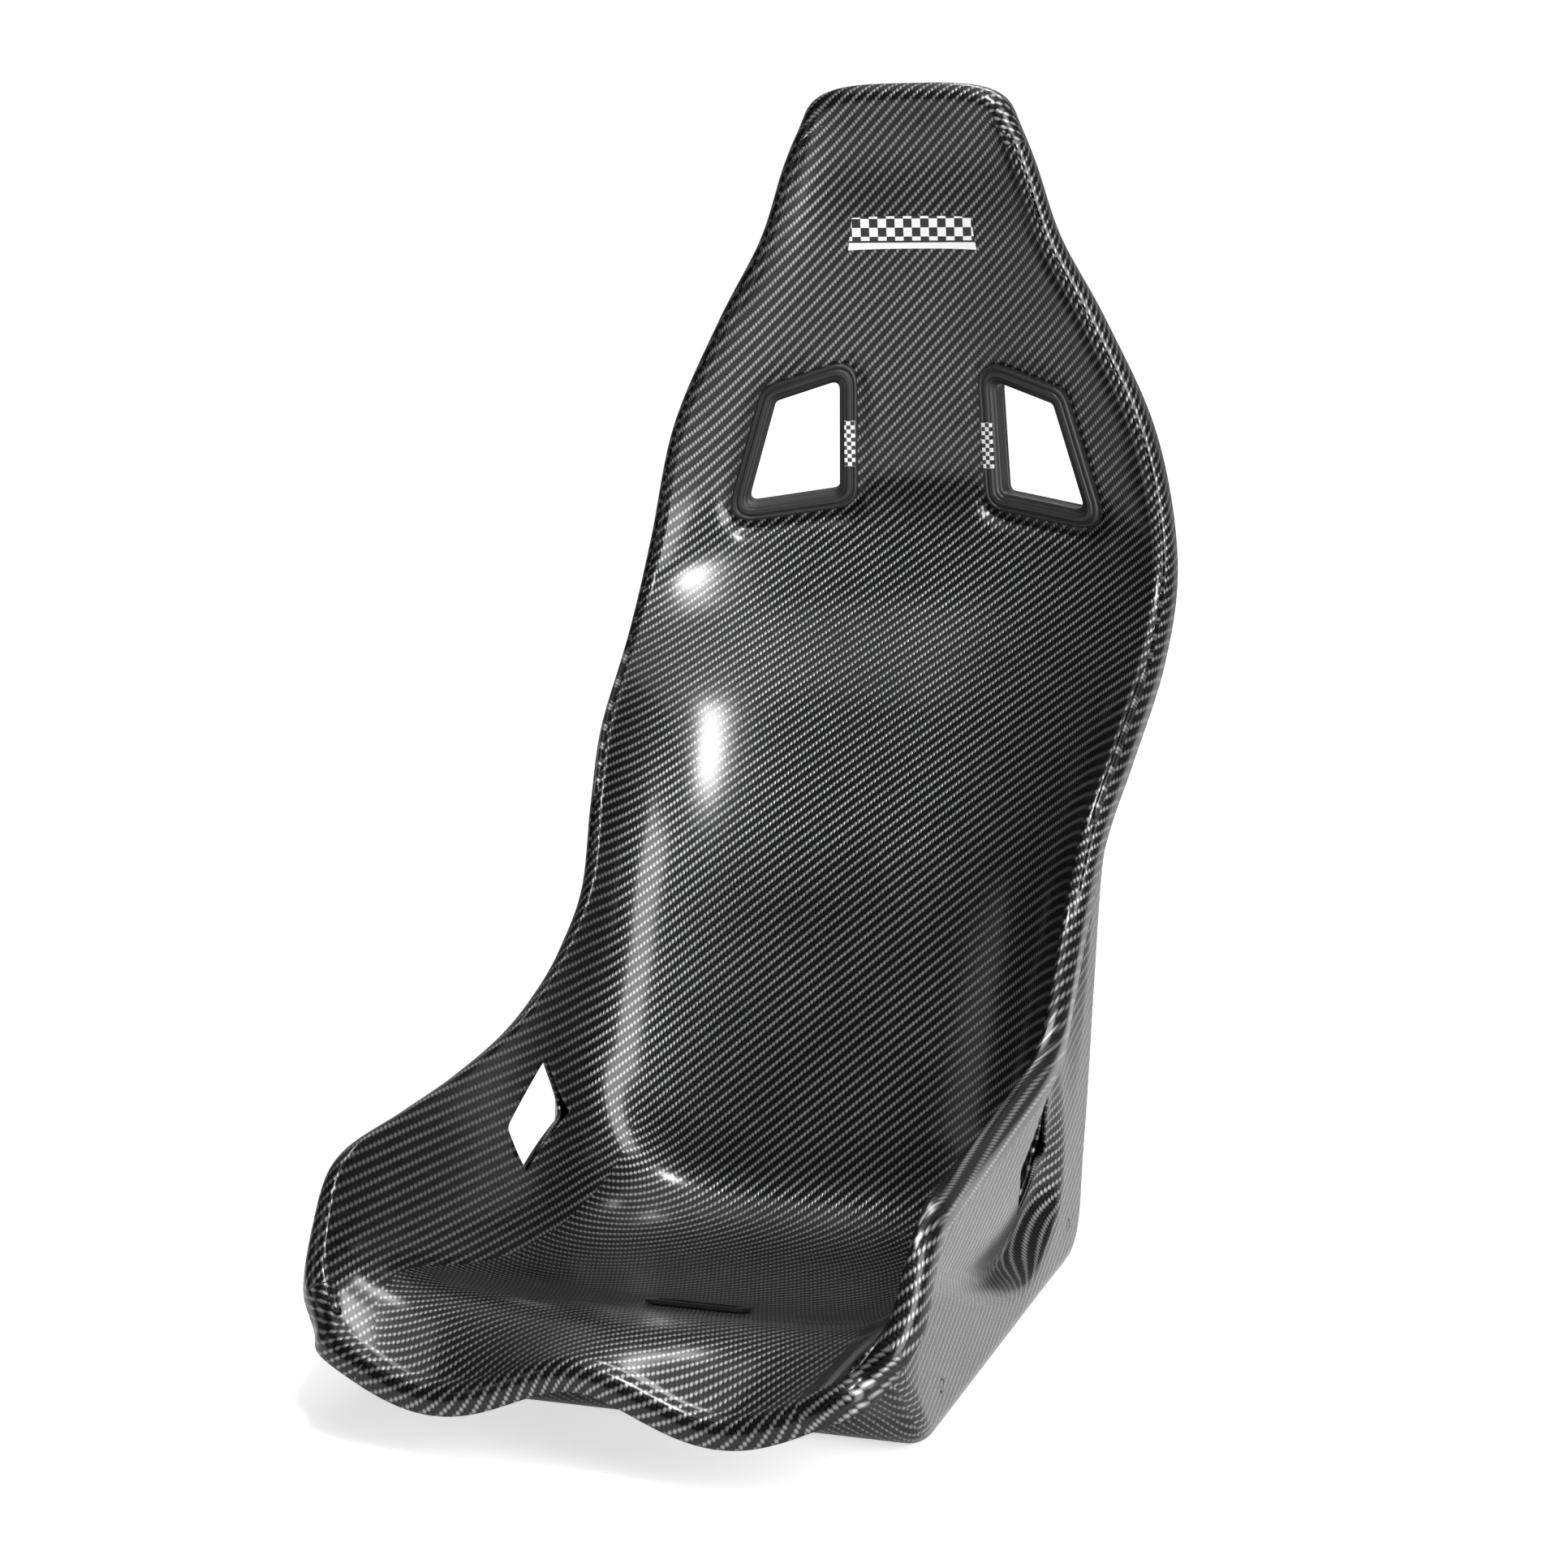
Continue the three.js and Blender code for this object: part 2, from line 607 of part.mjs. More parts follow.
[-1, 1].forEach((side) => {
  const name = side < 0 ? 'left' : 'right';
  const frame = harnessFrame(side);
  const at = (shape, low, high) => prismAt(shape, low, high, side, frame);

  // Flat lands for the rings: one let into the tub, one let into the back of the case.
  const frontPan = at(landWall, -LAND_DEPTH - LAMINATE, 40).intersect(behindTub);
  front = front.add(frontPan).subtract(at(landShape, -LAND_DEPTH, 60));
  const rearPan = at(landWall, -100, LAMINATE - rearLand).intersect(insideCase);
  rear = rear.add(rearPan).subtract(at(landShape, -120, -rearLand)).subtract(frontWithGap);
  const cut = at(cutShape, -120, 60);
  front = front.subtract(cut);
  rear = largest(rear.subtract(cut));

  // Front ring: outer lip, groove, inner land and a sleeve through both laminates.
  let ring = at(ringShape, -LAND_DEPTH + JOINT_GAP, BEZEL_PROUD);
  ring = ring.add(at(sleeveShape, -rearLand, 0));
  ring = ring.subtract(at(grooveOuter, BEZEL_PROUD - 1.6, 40).subtract(at(grooveInner, -40, 60)));
  ring = ring.subtract(at(openingShape, -120, 60));
  const [plateLeft, plateRight] = BADGE_ACROSS;
  const [plateLow, plateHigh] = BADGE_UP;
  const badgeOutline = (gap) => plainShape([
    [plateLeft - gap, plateLow - gap], [plateRight + gap, plateLow - gap],
    [plateRight + gap, plateHigh + gap], [plateLeft - gap, plateHigh + gap],
  ]);
  ring = ring.subtract(at(badgeOutline(0.3), BEZEL_PROUD - 2.2, 40));
  const badge = at(badgeOutline(0), BEZEL_PROUD - 1.9, BEZEL_PROUD + 0.8);

  // Rear ring, clamped against the back of the case by four screws from behind.
  const rearTop = -rearLand - JOINT_GAP;
  let backRing = at(ringShape, rearTop - REAR_RING_THICK, rearTop);
  backRing = backRing.subtract(at(openingShape, -120, 60));
  screwPlaces.forEach(([across, up], i) => {
    const spot = new THREE.Matrix4().makeTranslation(across, up, 0);
    const screwFrame = frame.clone().multiply(spot);
    const rod = (radius, low, high) => cylinderAt(radius, low, high, side, screwFrame, 10);
    const bore = rod(SCREW_RADIUS + 0.3, -120, SCREW_TIP + 0.4);
    front = front.subtract(bore);
    rear = rear.subtract(bore);
    ring = ring.subtract(bore);
    backRing = backRing.subtract(bore);
    const face = rearTop - REAR_RING_THICK - 0.2;
    const screw = rod(SCREW_RADIUS, face - 0.5, SCREW_TIP)
      .add(rod(SCREW_HEAD_RADIUS, face - SCREW_HEAD_HEIGHT, face))
      .subtract(rod(1.3, face - SCREW_HEAD_HEIGHT - 1, face - SCREW_HEAD_HEIGHT + 1.5));
    place(`bezel_screw_${name}_${i + 1}`, screw, blackSteel);
  });
  place(`harness_bezel_front_${name}`, ring, plastic);
  place(`harness_bezel_rear_${name}`, backRing, plastic);
  place(`badge_plate_${name}`, badge, label);
});

// ---------------------------------------------------------------- crotch-strap slot
const crotchStation = 4 + (CROTCH_Y - 95) / 90;
const crotchMiddle = tubPoint(crotchStation, 0);
const crotchAhead = tubPoint(crotchStation + 0.1, 0)
  .sub(tubPoint(crotchStation - 0.1, 0))
  .normalize();
const crotchFrame = new THREE.Matrix4().makeBasis(
  new THREE.Vector3(1, 0, 0), crotchAhead, new THREE.Vector3(1, 0, 0).cross(crotchAhead),
).setPosition(crotchMiddle);
const slotShape = (grow, radius) => {
  const across = CROTCH_LENGTH / 2 + grow;
  const alongPan = CROTCH_WIDTH / 2 + grow;
  return roundedShape(
    [[-across, -alongPan], [across, -alongPan], [across, alongPan], [-across, alongPan]], radius,
  );
};
const baseFrame = new THREE.Matrix4().makeTranslation(0, crotchMiddle.y, 0);
front = front.subtract(prismAt(slotShape(2 + JOINT_GAP, 8), -20, 20, 1, crotchFrame));
rear = rear.subtract(prismAt(slotShape(5, 9), -5, 12, 1, baseFrame));
const trim = prismAt(slotShape(CROTCH_TRIM, 10), 0.9, 3.6, 1, crotchFrame)
  .add(prismAt(slotShape(2, 7), -5, 2, 1, crotchFrame))
  .subtract(prismAt(slotShape(0, 5), -90, 60, 1, crotchFrame));
place('crotch_slot_trim', trim, plastic);

// ---------------------------------------------------------------- side mounts
[[-1, 'left'], [1, 'right']].forEach(([side, name]) => {
  [[INSERT_FRONT_Y, 'front'], [INSERT_REAR_Y, 'rear']].forEach(([y, end]) => {
    const frame = sideFrame(side, y, INSERT_Z);
    const rod = (radius, low, high) => cylinderAt(radius, low, high, side, frame, 16);
    const plateBack = SIDE_FACE - LAMINATE - PLATE_GAP - PLATE_THICK;
    rear = rear.subtract(rod(INSERT_BARREL + 0.3, 150, 240));
    const flangeTop = plateBack - PLATE_GAP;
    const insert = rod(INSERT_BARREL, flangeTop - 1, SIDE_FACE)
      .add(rod(INSERT_FLANGE, flangeTop - INSERT_FLANGE_THICK, flangeTop))
      .subtract(rod(INSERT_BORE, 100, 260));
    place(`thread_insert_${end}_${name}`, insert, zinc);
    const halfLength = PLATE_LENGTH / 2;
    const halfHeight = PLATE_HEIGHT / 2;
    const outline = roundedShape([
      [-halfLength, -halfHeight], [halfLength, -halfHeight],
      [halfLength, halfHeight], [-halfLength, halfHeight],
    ], 4);
    const plate = prismAt(outline, plateBack, plateBack + PLATE_THICK, side, frame, 2)
      .subtract(rod(INSERT_BARREL + 0.3, 100, 260));
    place(`anchor_plate_${end}_${name}`, plate, zinc);
  });
});

// ---------------------------------------------------------------- head strip
const STRIP_FACETS = 10;
const stripStations = steps(
  STRIP_STATION - STRIP_HALF_HEIGHT, STRIP_STATION + STRIP_HALF_HEIGHT, 2,
);
const stripPoints = [];
stripStations.forEach((station) => {
  steps(-STRIP_ACROSS, STRIP_ACROSS, STRIP_FACETS).forEach((across) => {
    stripPoints.push(tubPoint(station, across));
  });
});
const stripFaces = gridFaces(2, STRIP_FACETS);
const stripNormals = vertexNormals(stripPoints, stripFaces);
const raised = (height) => (
  stripPoints.map((point, i) => point.clone().addScaledVector(stripNormals[i], height))
);
place(
  'head_strip',
  solid(shellGeometry(
    raised(STRIP_HIGH), raised(STRIP_LOW), stripFaces, gridEdge(2, STRIP_FACETS),
  )),
  label,
);

place('front_shell', largest(front.simplify(SLIVER)), carbon);
place('rear_shell', largest(rear.simplify(SLIVER)), carbon);

// ---------------------------------------------------------------- reference point
const box = new THREE.Box3().setFromObject(seat);
seat.children.forEach((mesh) => {
  mesh.geometry.translate(0, -(box.min.y + box.max.y) / 2, -box.min.z);
});

export default seat;
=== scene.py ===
# Carbon-fibre racing seat: the bare shell of a one-piece bucket seat, lacquered twill
# carbon with plastic bezels in the shoulder-harness openings.  Shapes are worked out in
# millimetres in the seat's own datum (front bottom corner of the side wall) and placed in
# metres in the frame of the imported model.
import math

import bmesh
import bpy
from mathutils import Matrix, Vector
from mathutils.bvhtree import BVHTree


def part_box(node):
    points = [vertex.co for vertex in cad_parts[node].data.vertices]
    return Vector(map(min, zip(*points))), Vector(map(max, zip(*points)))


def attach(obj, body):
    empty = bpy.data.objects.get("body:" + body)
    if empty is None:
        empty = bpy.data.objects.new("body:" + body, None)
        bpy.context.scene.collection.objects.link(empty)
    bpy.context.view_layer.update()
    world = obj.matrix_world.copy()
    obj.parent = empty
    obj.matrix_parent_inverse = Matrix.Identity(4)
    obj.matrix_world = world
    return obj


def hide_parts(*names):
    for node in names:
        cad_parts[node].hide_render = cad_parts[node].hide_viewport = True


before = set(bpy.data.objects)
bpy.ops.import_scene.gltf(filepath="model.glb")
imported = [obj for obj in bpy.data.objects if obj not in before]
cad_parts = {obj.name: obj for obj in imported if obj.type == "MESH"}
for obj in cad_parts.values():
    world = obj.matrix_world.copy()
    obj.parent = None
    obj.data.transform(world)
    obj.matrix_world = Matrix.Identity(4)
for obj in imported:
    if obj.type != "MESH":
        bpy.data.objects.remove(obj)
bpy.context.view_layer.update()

MM = 0.001

# ------------------------------------------------------------------ driving dimensions
LAMINATE = 3.0  # thickness of both laminates
BOND_GAP = 0.8  # bond line between them
BOTH_LAMINATES = 2 * LAMINATE + BOND_GAP
RIM_WIDTH = 14.0  # how far the rolled rim stands out from the tub wall
RIM_DEPTH = 20.0  # how far its skirt runs back
RIM_EXTRA = 5.0  # extra skirt depth round the waist and shoulders
RIM_ROLL = 12.0  # depth taken up by the rounded part
HUMP_DIP = 28.0  # depth of the two leg hollows in the front lip
HUMP_FADE = 3.5  # station at which they have run out
PAN_END = 6  # station up to which the rim skirt points straight down
BACK_START = 13  # station from which it points straight back
CASE_INSET = 6.0  # the case meets the rim this far outside the tub wall
SIDE_FACE = 204.0  # flat side faces, from the middle
FLARE_START = 9  # station above which the case widens

# Stations from the front lip, over the pan and up the back to the head: centre line of the
# tub (y, z), rim (half-width, y, z), squareness and lean of the walls, and the rear case
# (y, z, half-width, corner radius).
STATIONS = (
    ((-98, 78), (178, -81, 84), (4.0, 0.045), (-88, 93, 184, 14)),
    ((-66, 80), (195, -62, 112), (4.0, 0.045), (-62, 66, 199, 16)),
    ((-33, 79), (200, -36, 150), (4.5, 0.045), (-32, 34, 204, 18)),
    ((10, 71), (201, 0, 169), (5.0, 0.045), (2, 2, 204, 18)),
    ((95, 42), (199, 85, 172), (5.0, 0.045), (70, 0, 204, 18)),
    ((185, 18), (198, 170, 175), (4.5, 0.045), (180, 0, 204, 18)),
    ((285, 11), (198, 262, 184), (4.0, 0.045), (290, 0, 204, 18)),
    ((360, 28), (196, 325, 203), (3.2, 0.05), (393, 3, 204, 18)),
    ((395, 82), (192, 368, 230), (2.8, 0.06), (424, 60, 204, 28)),
    ((445, 175), (190, 408, 268), (2.6, 0.08), (470, 172, 204, 44)),
    ((505, 285), (196, 444, 328), (2.6, 0.12), (527, 284, 204, 56)),
    ((575, 385), (206, 494, 382), (2.5, 0.18), (597, 382, 212, 70)),
    ((645, 475), (212, 575, 447), (2.3, 0.26), (667, 470, 219, 80)),
    ((684, 550), (209, 621, 515), (2.2, 0.32), (697, 548, 216, 84)),
    ((679, 612), (190, 628, 605), (2.2, 0.32), (693, 620, 197, 80)),
    ((666, 700), (150, 630, 690), (2.4, 0.28), (683, 705, 157, 62)),
    ((656, 770), (113, 631, 756), (2.8, 0.24), (675, 770, 120, 46)),
    ((650, 830), (92, 631, 815), (3.2, 0.2), (667, 832, 98, 34)),
    ((633, 871), (76, 633, 852), (3.5, 0.1), (640, 866, 82, 20)),
)
LAST = len(STATIONS) - 1

# Shoulder-harness openings: centre, turn and outline in their own plane (across, up).
HARNESS_CENTRE = (99, 664, 593)
HARNESS_YAW = math.radians(16)
HARNESS_LEAN = math.radians(6.5)
HARNESS_OUTLINE = ((-32, 53), (21, 36), (46, -50), (-31, -39))
HARNESS_RADIUS = 6
BEZEL_LAND = 15
BEZEL_CORNER = 19
BEZEL_PROUD = 5
LAND_DEPTH = 3.2  # land for the ring below the plane of the opening
REAR_LAND = LAND_DEPTH + BOTH_LAMINATES
BACK_LIMIT = 698.4  # how far the case's back reaches

# Lap-belt openings and the recess pressed round them, in (y, z).
LAP_OUTLINE = ((236, 116), (253, 76), (334, 102), (316, 151))
LAP_RADIUS = 5
POCKET_OUTLINE = (
    (7, 106), (64, 83), (136, 57), (205, 39), (251, 33), (298, 44), (332, 66), (344, 111),
    (340, 172), (340, 300), (7, 300),
)
POCKET_STEP = 12.0  # run of the pressed step
POCKET_DEEPEST = 24.0

CROTCH_Y = 118
CROTCH_LENGTH = 62
CROTCH_WIDTH = 20
CROTCH_RADIUS = 9

INSERT_Y = (22, 366)

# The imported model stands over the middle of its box, so its datum is found from an insert.
INSERT_LOW, INSERT_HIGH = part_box("thread_insert_front_right")
DATUM = Vector((0, (INSERT_LOW[1] + INSERT_HIGH[1]) / 2 - INSERT_Y[0] * MM, 0))


# ------------------------------------------------------------------ small helpers
def clamp(value, low=0.0, high=1.0):
    return min(high, max(low, value))


def smooth(value):
    share = clamp(value)
    return share * share * (3 - 2 * share)


def mix(a, b, share):
    return a + (b - a) * share


def placed(point):
    """A point of the seat's datum, in mm, as a place in the frame, in metres."""
    return Vector(point) * MM + DATUM


def along(values, station):
    """Value of a list of station numbers at a fractional station."""
    start = int(clamp(math.floor(station), 0, LAST - 1))
    share = station - start
    b, c = values[start], values[start + 1]
    a = values[start - 1] if start > 0 else 2 * b - c
    d = values[start + 2] if start + 2 <= LAST else 2 * c - b
    leave, arrive = (c - a) / 2, (d - b) / 2
    square = share * share
    cube = square * share
    return (
        (2 * cube - 3 * square + 1) * b + (cube - 2 * square + share) * leave
        + (3 * square - 2 * cube) * c + (cube - square) * arrive
    )


def column(group, item):
    return [station[group][item] for station in STATIONS]


CENTRE_Y, CENTRE_Z = column(0, 0), column(0, 1)
RIM_X, RIM_Y, RIM_Z = column(1, 0), column(1, 1), column(1, 2)
SQUARE, LEAN = column(2, 0), column(2, 1)
REAR_Y, REAR_Z, REAR_X, REAR_CORNER = (column(3, item) for item in range(4))


def bend_place(station):
    """Where the cross-section turns from floor to wall, as a share across the tub."""
    half = along(RIM_X, station)
    depth = math.hypot(
        along(RIM_Y, station) - along(CENTRE_Y, station),
        along(RIM_Z, station) - along(CENTRE_Z, station),
    )
    return half / (half + depth)


def section(across, station):
    """Share of the half-width and of the depth at a place across the tub."""
    bend = bend_place(station)
    power = along(SQUARE, station)
    if across <= bend:
        ratio = across / bend
        length = (1 + ratio ** power) ** (1 / power)
        return ratio / length, 1 - 1 / length
    ratio = (1 - across) / (1 - bend)
    length = (1 + ratio ** power) ** (1 / power)
    return 1 / length, 1 - ratio / length


def tub_point(across, station):
    """Point on the driver's side of the tub: across -1..1, station 0..LAST."""
    wide, deep = section(abs(across), station)
    lean = along(LEAN, station)
    x = math.copysign(along(RIM_X, station) * ((1 - lean) * wide + lean * deep), across)
    hollow = math.sin(math.pi * min(1.18, wide) / 1.18) ** 2 * (1 - deep)
    fade = clamp(1 - station / HUMP_FADE) ** 2
    return Vector((
        x,
        mix(along(CENTRE_Y, station), along(RIM_Y, station), deep),
        mix(along(CENTRE_Z, station), along(RIM_Z, station), deep) - HUMP_DIP * fade * hollow,
    ))


def skirt_direction(station):
    turn = -math.pi / 2 * (1 - smooth((station - PAN_END) / (BACK_START - PAN_END)))
    return Vector((0, math.cos(turn), math.sin(turn)))


def waist(station):
    return smooth((station - 5) / 3) * smooth((16.5 - station) / 3)


def rounded(corners, radius, steps=4):
    """An outline with its corners rounded off."""
    points = []
    count = len(corners)
    for i, corner in enumerate(corners):
        here = Vector(corner)
        back = (Vector(corners[i - 1]) - here).normalized()
        ahead = (Vector(corners[(i + 1) % count]) - here).normalized()
        half = math.acos(clamp(back.dot(ahead), -1, 1)) / 2
        reach = radius / math.tan(half)
        start, end = here + back * reach, here + ahead * reach
        for step in range(steps + 1):
            share = step / steps
            points.append(mix(mix(start, here, share), mix(here, end, share), share))
    return points


def grown(corners, distance):
    """The corners moved outwards by a distance."""
    middle = sum((Vector(corner) for corner in corners), Vector((0, 0))) / len(corners)
    result = []
    for i, corner in enumerate(corners):
        here = Vector(corner)
        normals = []
        for side in (here - Vector(corners[i - 1]), Vector(corners[(i + 1) % len(corners)]) - here):
            normal = Vector((side.y, -side.x)).normalized()
            if normal.dot(here - middle) < 0:
                normal.negate()
            normals.append(normal)
        total = normals[0] + normals[1]
        result.append(here + total * (distance / (1 + normals[0].dot(normals[1]))))
    return result


def inside(point, outline):
    """Distance from a point to an outline, negative inside it."""
    nearest = 1e9
    within = False
    for i, end in enumerate(outline):
        start = outline[i - 1]
        run = Vector(end) - Vector(start)
        gap = point - Vector(start)
        share = clamp(gap.dot(run) / run.length_squared) if run.length_squared else 0
        nearest = min(nearest, (gap - run * share).length)
        if (start[1] > point.y) != (end[1] > point.y):
            cross = start[0] + (point.y - start[1]) / (end[1] - start[1]) * (end[0] - start[0])
            if point.x < cross:
                within = not within
    return -nearest if within else nearest


def piece_from(mesh_maker, name, material, stands_for):
    """A finished object from a bmesh, riding on the seat in place of CAD pieces."""
    mesh = bpy.data.meshes.new(name)
    for face in mesh_maker.faces:
        face.smooth = True
    mesh_maker.to_mesh(mesh)
    mesh_maker.free()
    mesh.materials.append(material)
    piece = bpy.data.objects.new(name, mesh)
    bpy.context.scene.collection.objects.link(piece)
    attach(piece, "root")
    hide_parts(*stands_for)
    return piece


# ------------------------------------------------------------------ shader expressions
class Wire:
    """A socket that takes part in sums, each of which adds its Math node."""

    def __init__(self, finish, socket):
        self.finish = finish
        self.socket = socket

    def math(self, operation, *others):
        return self.finish.add("ShaderNodeMath", {"operation": operation}, [self, *others])

    def __add__(self, other):
        return self.math("ADD", other)

    __radd__ = __add__

    def __sub__(self, other):
        return self.math("SUBTRACT", other)

    def __rsub__(self, other):
        return self.finish.add("ShaderNodeMath", {"operation": "SUBTRACT"}, [other, self])

    def __mul__(self, other):
        return self.math("MULTIPLY", other)

    __rmul__ = __mul__

    def __truediv__(self, other):
        return self.math("DIVIDE", other)

    def __mod__(self, other):
        return self.math("FLOORED_MODULO", other)

    def floor(self):
        return self.math("FLOOR")

    def fraction(self):
        return self.math("FRACT")

    def wave(self):
        return self.math("SINE")

    def size(self):
        return self.math("ABSOLUTE")

    def over(self, other):
        return self.math("GREATER_THAN", other)

    def eased(self, low, high):
        return self.finish.add(
            "ShaderNodeMapRange", {"interpolation_type": "SMOOTHSTEP", "clamp": True},
            {"Value": self, "From Min": low, "From Max": high},
        )

    def toward(self, low, high):
        """low where this is 0, high where it is 1."""
        return self.finish.add(
            "ShaderNodeMix", {"data_type": "FLOAT"}, {0: self, 2: low, 3: high},
        )

    def tint(self, low, high):
        """One colour where this is 0, another where it is 1."""
        return self.finish.add(
            "ShaderNodeMix", {"data_type": "RGBA"}, {0: self, 6: (*low, 1), 7: (*high, 1)},
            output=2,
        )


class Finish:
    """A material whose nodes are added one at a time."""

    def __init__(self, name):
        self.material = bpy.data.materials.new(name)
        self.material.use_nodes = True
        self.tree = self.material.node_tree
        self.tree.nodes.clear()

    def add(self, kind, settings, inputs, output=0):
        node = self.tree.nodes.new(kind)
        for name, value in settings.items():
            setattr(node, name, value)
        pairs = enumerate(inputs) if isinstance(inputs, (list, tuple)) else inputs.items()
        for name, value in pairs:
            if isinstance(value, Wire):
                self.tree.links.new(value.socket, node.inputs[name])
            else:
                node.inputs[name].default_value = value
        return Wire(self, node.outputs[output]) if len(node.outputs) else None

    def parts(self, vector):
        node = self.tree.nodes.new("ShaderNodeSeparateXYZ")
        self.tree.links.new(vector.socket, node.inputs[0])
        return [Wire(self, socket) for socket in node.outputs]

    def place(self):
        return self.add("ShaderNodeTexCoord", {}, {}, output="Object")

    def cloth(self):
        return self.add("ShaderNodeUVMap", {"uv_map": "cloth"}, {})

    def noise(self, scale, detail=2.0, vector=None, roughness=0.5):
        inputs = {"Scale": scale, "Detail": detail, "Roughness": roughness}
        inputs["Vector"] = vector or self.place()
        return self.add("ShaderNodeTexNoise", {}, inputs)

    def bump(self, height, strength, distance):
        return self.add(
            "ShaderNodeBump", {}, {"Height": height, "Strength": strength, "Distance": distance},
        )

    def surface(self, **inputs):
        named = {name.replace("_", " "): value for name, value in inputs.items()}
        return self.add("ShaderNodeBsdfPrincipled", {}, named)

    def done(self, shader):
        self.add("ShaderNodeOutputMaterial", {}, {"Surface": shader})
        return self.material


# ------------------------------------------------------------------ finishes
TOW = 0.0024  # width of one tow of the cloth
GLOSS = 0.85  # weight of the lacquer
BAR_GAP = 0.0016  # black line between the printed bar and the squares


def twill_carbon(name):
    """Lacquered 2x2 twill: two tows over, two under, stepping one tow a row."""
    finish = Finish(name)
    across, up, _ = finish.parts(finish.cloth())
    s, t = across / TOW, up / TOW
    step = (s.floor() - t.floor()) % 4
    weft = step.over(1.5)
    fs, ft = s.fraction(), t.fraction()
    run_warp = (1 - step) + ft
    run_weft = (step - 2) + fs
    crown = weft.toward((fs * math.pi).wave(), (ft * math.pi).wave())
    float_ = weft.toward((run_warp * (math.pi / 2)).wave(), (run_weft * (math.pi / 2)).wave())
    filaments = finish.noise(2600, 2.0)
    drift = finish.noise(9, 3.0)
    height = crown * 0.6 + float_ * 0.7 + filaments * 0.08
    # painted highlight: the colour makes the warp tows light and the weft tows nearly black,
    # brightest along each tow's crown and in the middle of each float, where light would catch
    # them; the drift noise then adds random tone
    painted_sheen_and_tone = weft.toward(1.0, 0.04) * (0.06 + 0.94 * float_ * float_) * (0.35 + 0.65 * crown)
    painted_sheen_and_tone = painted_sheen_and_tone * (0.4 + 1.2 * drift)
    colour = painted_sheen_and_tone.tint((0.0015, 0.0015, 0.0017), (0.37, 0.374, 0.38))
    shader = finish.surface(
        Base_Color=colour,
        Metallic=0.8,
        Roughness=0.36 + 0.08 * drift,
        Specular_Tint=(0.25, 0.25, 0.25, 1),
        Coat_Weight=GLOSS,
        Coat_Roughness=0.19,
        Coat_IOR=1.45,
        Normal=finish.bump(height, 0.9, 0.00035),
    )
    return finish.done(shader)


def moulded_plastic():
    finish = Finish("bezel_plastic")
    grain = finish.noise(900, 3.0)
    drift = finish.noise(14, 2.0)
    shader = finish.surface(
        Base_Color=drift.tint((0.011, 0.011, 0.012), (0.02, 0.02, 0.021)),
        Roughness=0.34 + 0.12 * drift,
        Specular_IOR_Level=0.5,
        Normal=finish.bump(grain, 0.25, 0.0001),
    )
    return finish.done(shader)


def chequer_print(name, cell, bar):
    """White chequer squares on black.  A plain bar runs along the low edge up to the height
    `bar`, unless that is 0."""
    finish = Finish(name)
    across, _, up = finish.parts(finish.place())
    speck = finish.noise(420, 2.0)
    square = ((across / cell).floor() + (up / cell).floor()) % 2
    white = square.size().over(0.5)
    if bar:
        under = 1 - up.over(bar)
        gap = up.over(bar) * (1 - up.over(bar + BAR_GAP))
        white = (white * (1 - under) + under) * (1 - gap)
    shader = finish.surface(
        Base_Color=(white * (0.9 + 0.1 * speck)).tint((0.012, 0.012, 0.012), (0.84, 0.84, 0.84)),
        Roughness=0.3 + 0.1 * speck,
        Coat_Weight=0.4,
        Coat_Roughness=0.1,
    )
    return finish.done(shader)


def zinc_plate():
    finish = Finish("zinc_steel")
    cloud = finish.noise(60, 4.0)
    grain = finish.noise(1400, 2.0)
    shader = finish.surface(
        Base_Color=cloud.tint((0.5, 0.51, 0.52), (0.72, 0.73, 0.74)),
        Metallic=1.0,
        Roughness=0.24 + 0.2 * cloud,
        Normal=finish.bump(grain, 0.2, 0.0001),
    )
    return finish.done(shader)


def black_steel():
    finish = Finish("black_steel")
    cloud = finish.noise(300, 3.0)
    shader = finish.surface(
        Base_Color=cloud.tint((0.02, 0.02, 0.022), (0.05, 0.05, 0.052)),
        Metallic=0.8,
        Roughness=0.36 + 0.15 * cloud,
        Normal=finish.bump(cloud, 0.2, 0.0001),
    )
    return finish.done(shader)


TUB_CARBON = twill_carbon("tub_carbon")
CASE_CARBON = twill_carbon("case_carbon")
PLASTIC = moulded_plastic()
STRIP_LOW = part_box("head_strip")[0][2]
STRIP_PRINT = chequer_print("strip_print", 0.0072, STRIP_LOW + 0.006)
BADGE_PRINT = chequer_print("badge_print", 0.0034, 0)
ZINC = zinc_plate()
BLACK = black_steel()


# ------------------------------------------------------------------ harness frames
def harness_axes(side):
    across = Vector((math.cos(HARNESS_YAW), -math.sin(HARNESS_YAW), 0))
    up = Vector((0, -math.sin(HARNESS_LEAN), math.cos(HARNESS_LEAN)))
    up = (up - across * up.dot(across)).normalized()
    front = across.cross(up).normalized()
    centre = Vector(HARNESS_CENTRE)
    mirror = Vector((side, 1, 1))
    return [axis * mirror for axis in (centre, across, up, front)]


def harness_place(side, across, up, height=0.0):
    centre, along_ring, upward, front = harness_axes(side)
    return centre + along_ring * across + upward * up + front * height


HARNESS = {side: harness_axes(side) for side in (-1, 1)}
LAND_OUTLINE = rounded(grown(HARNESS_OUTLINE, BEZEL_LAND + 1.4), BEZEL_CORNER + 2)
CUT_OUTLINE = rounded(grown(HARNESS_OUTLINE, 4), HARNESS_RADIUS + 3)
RECESS_RUN = 13.0  # run of the step round the front lands
REAR_RUN = 8.0  # run of the step round the rear lands


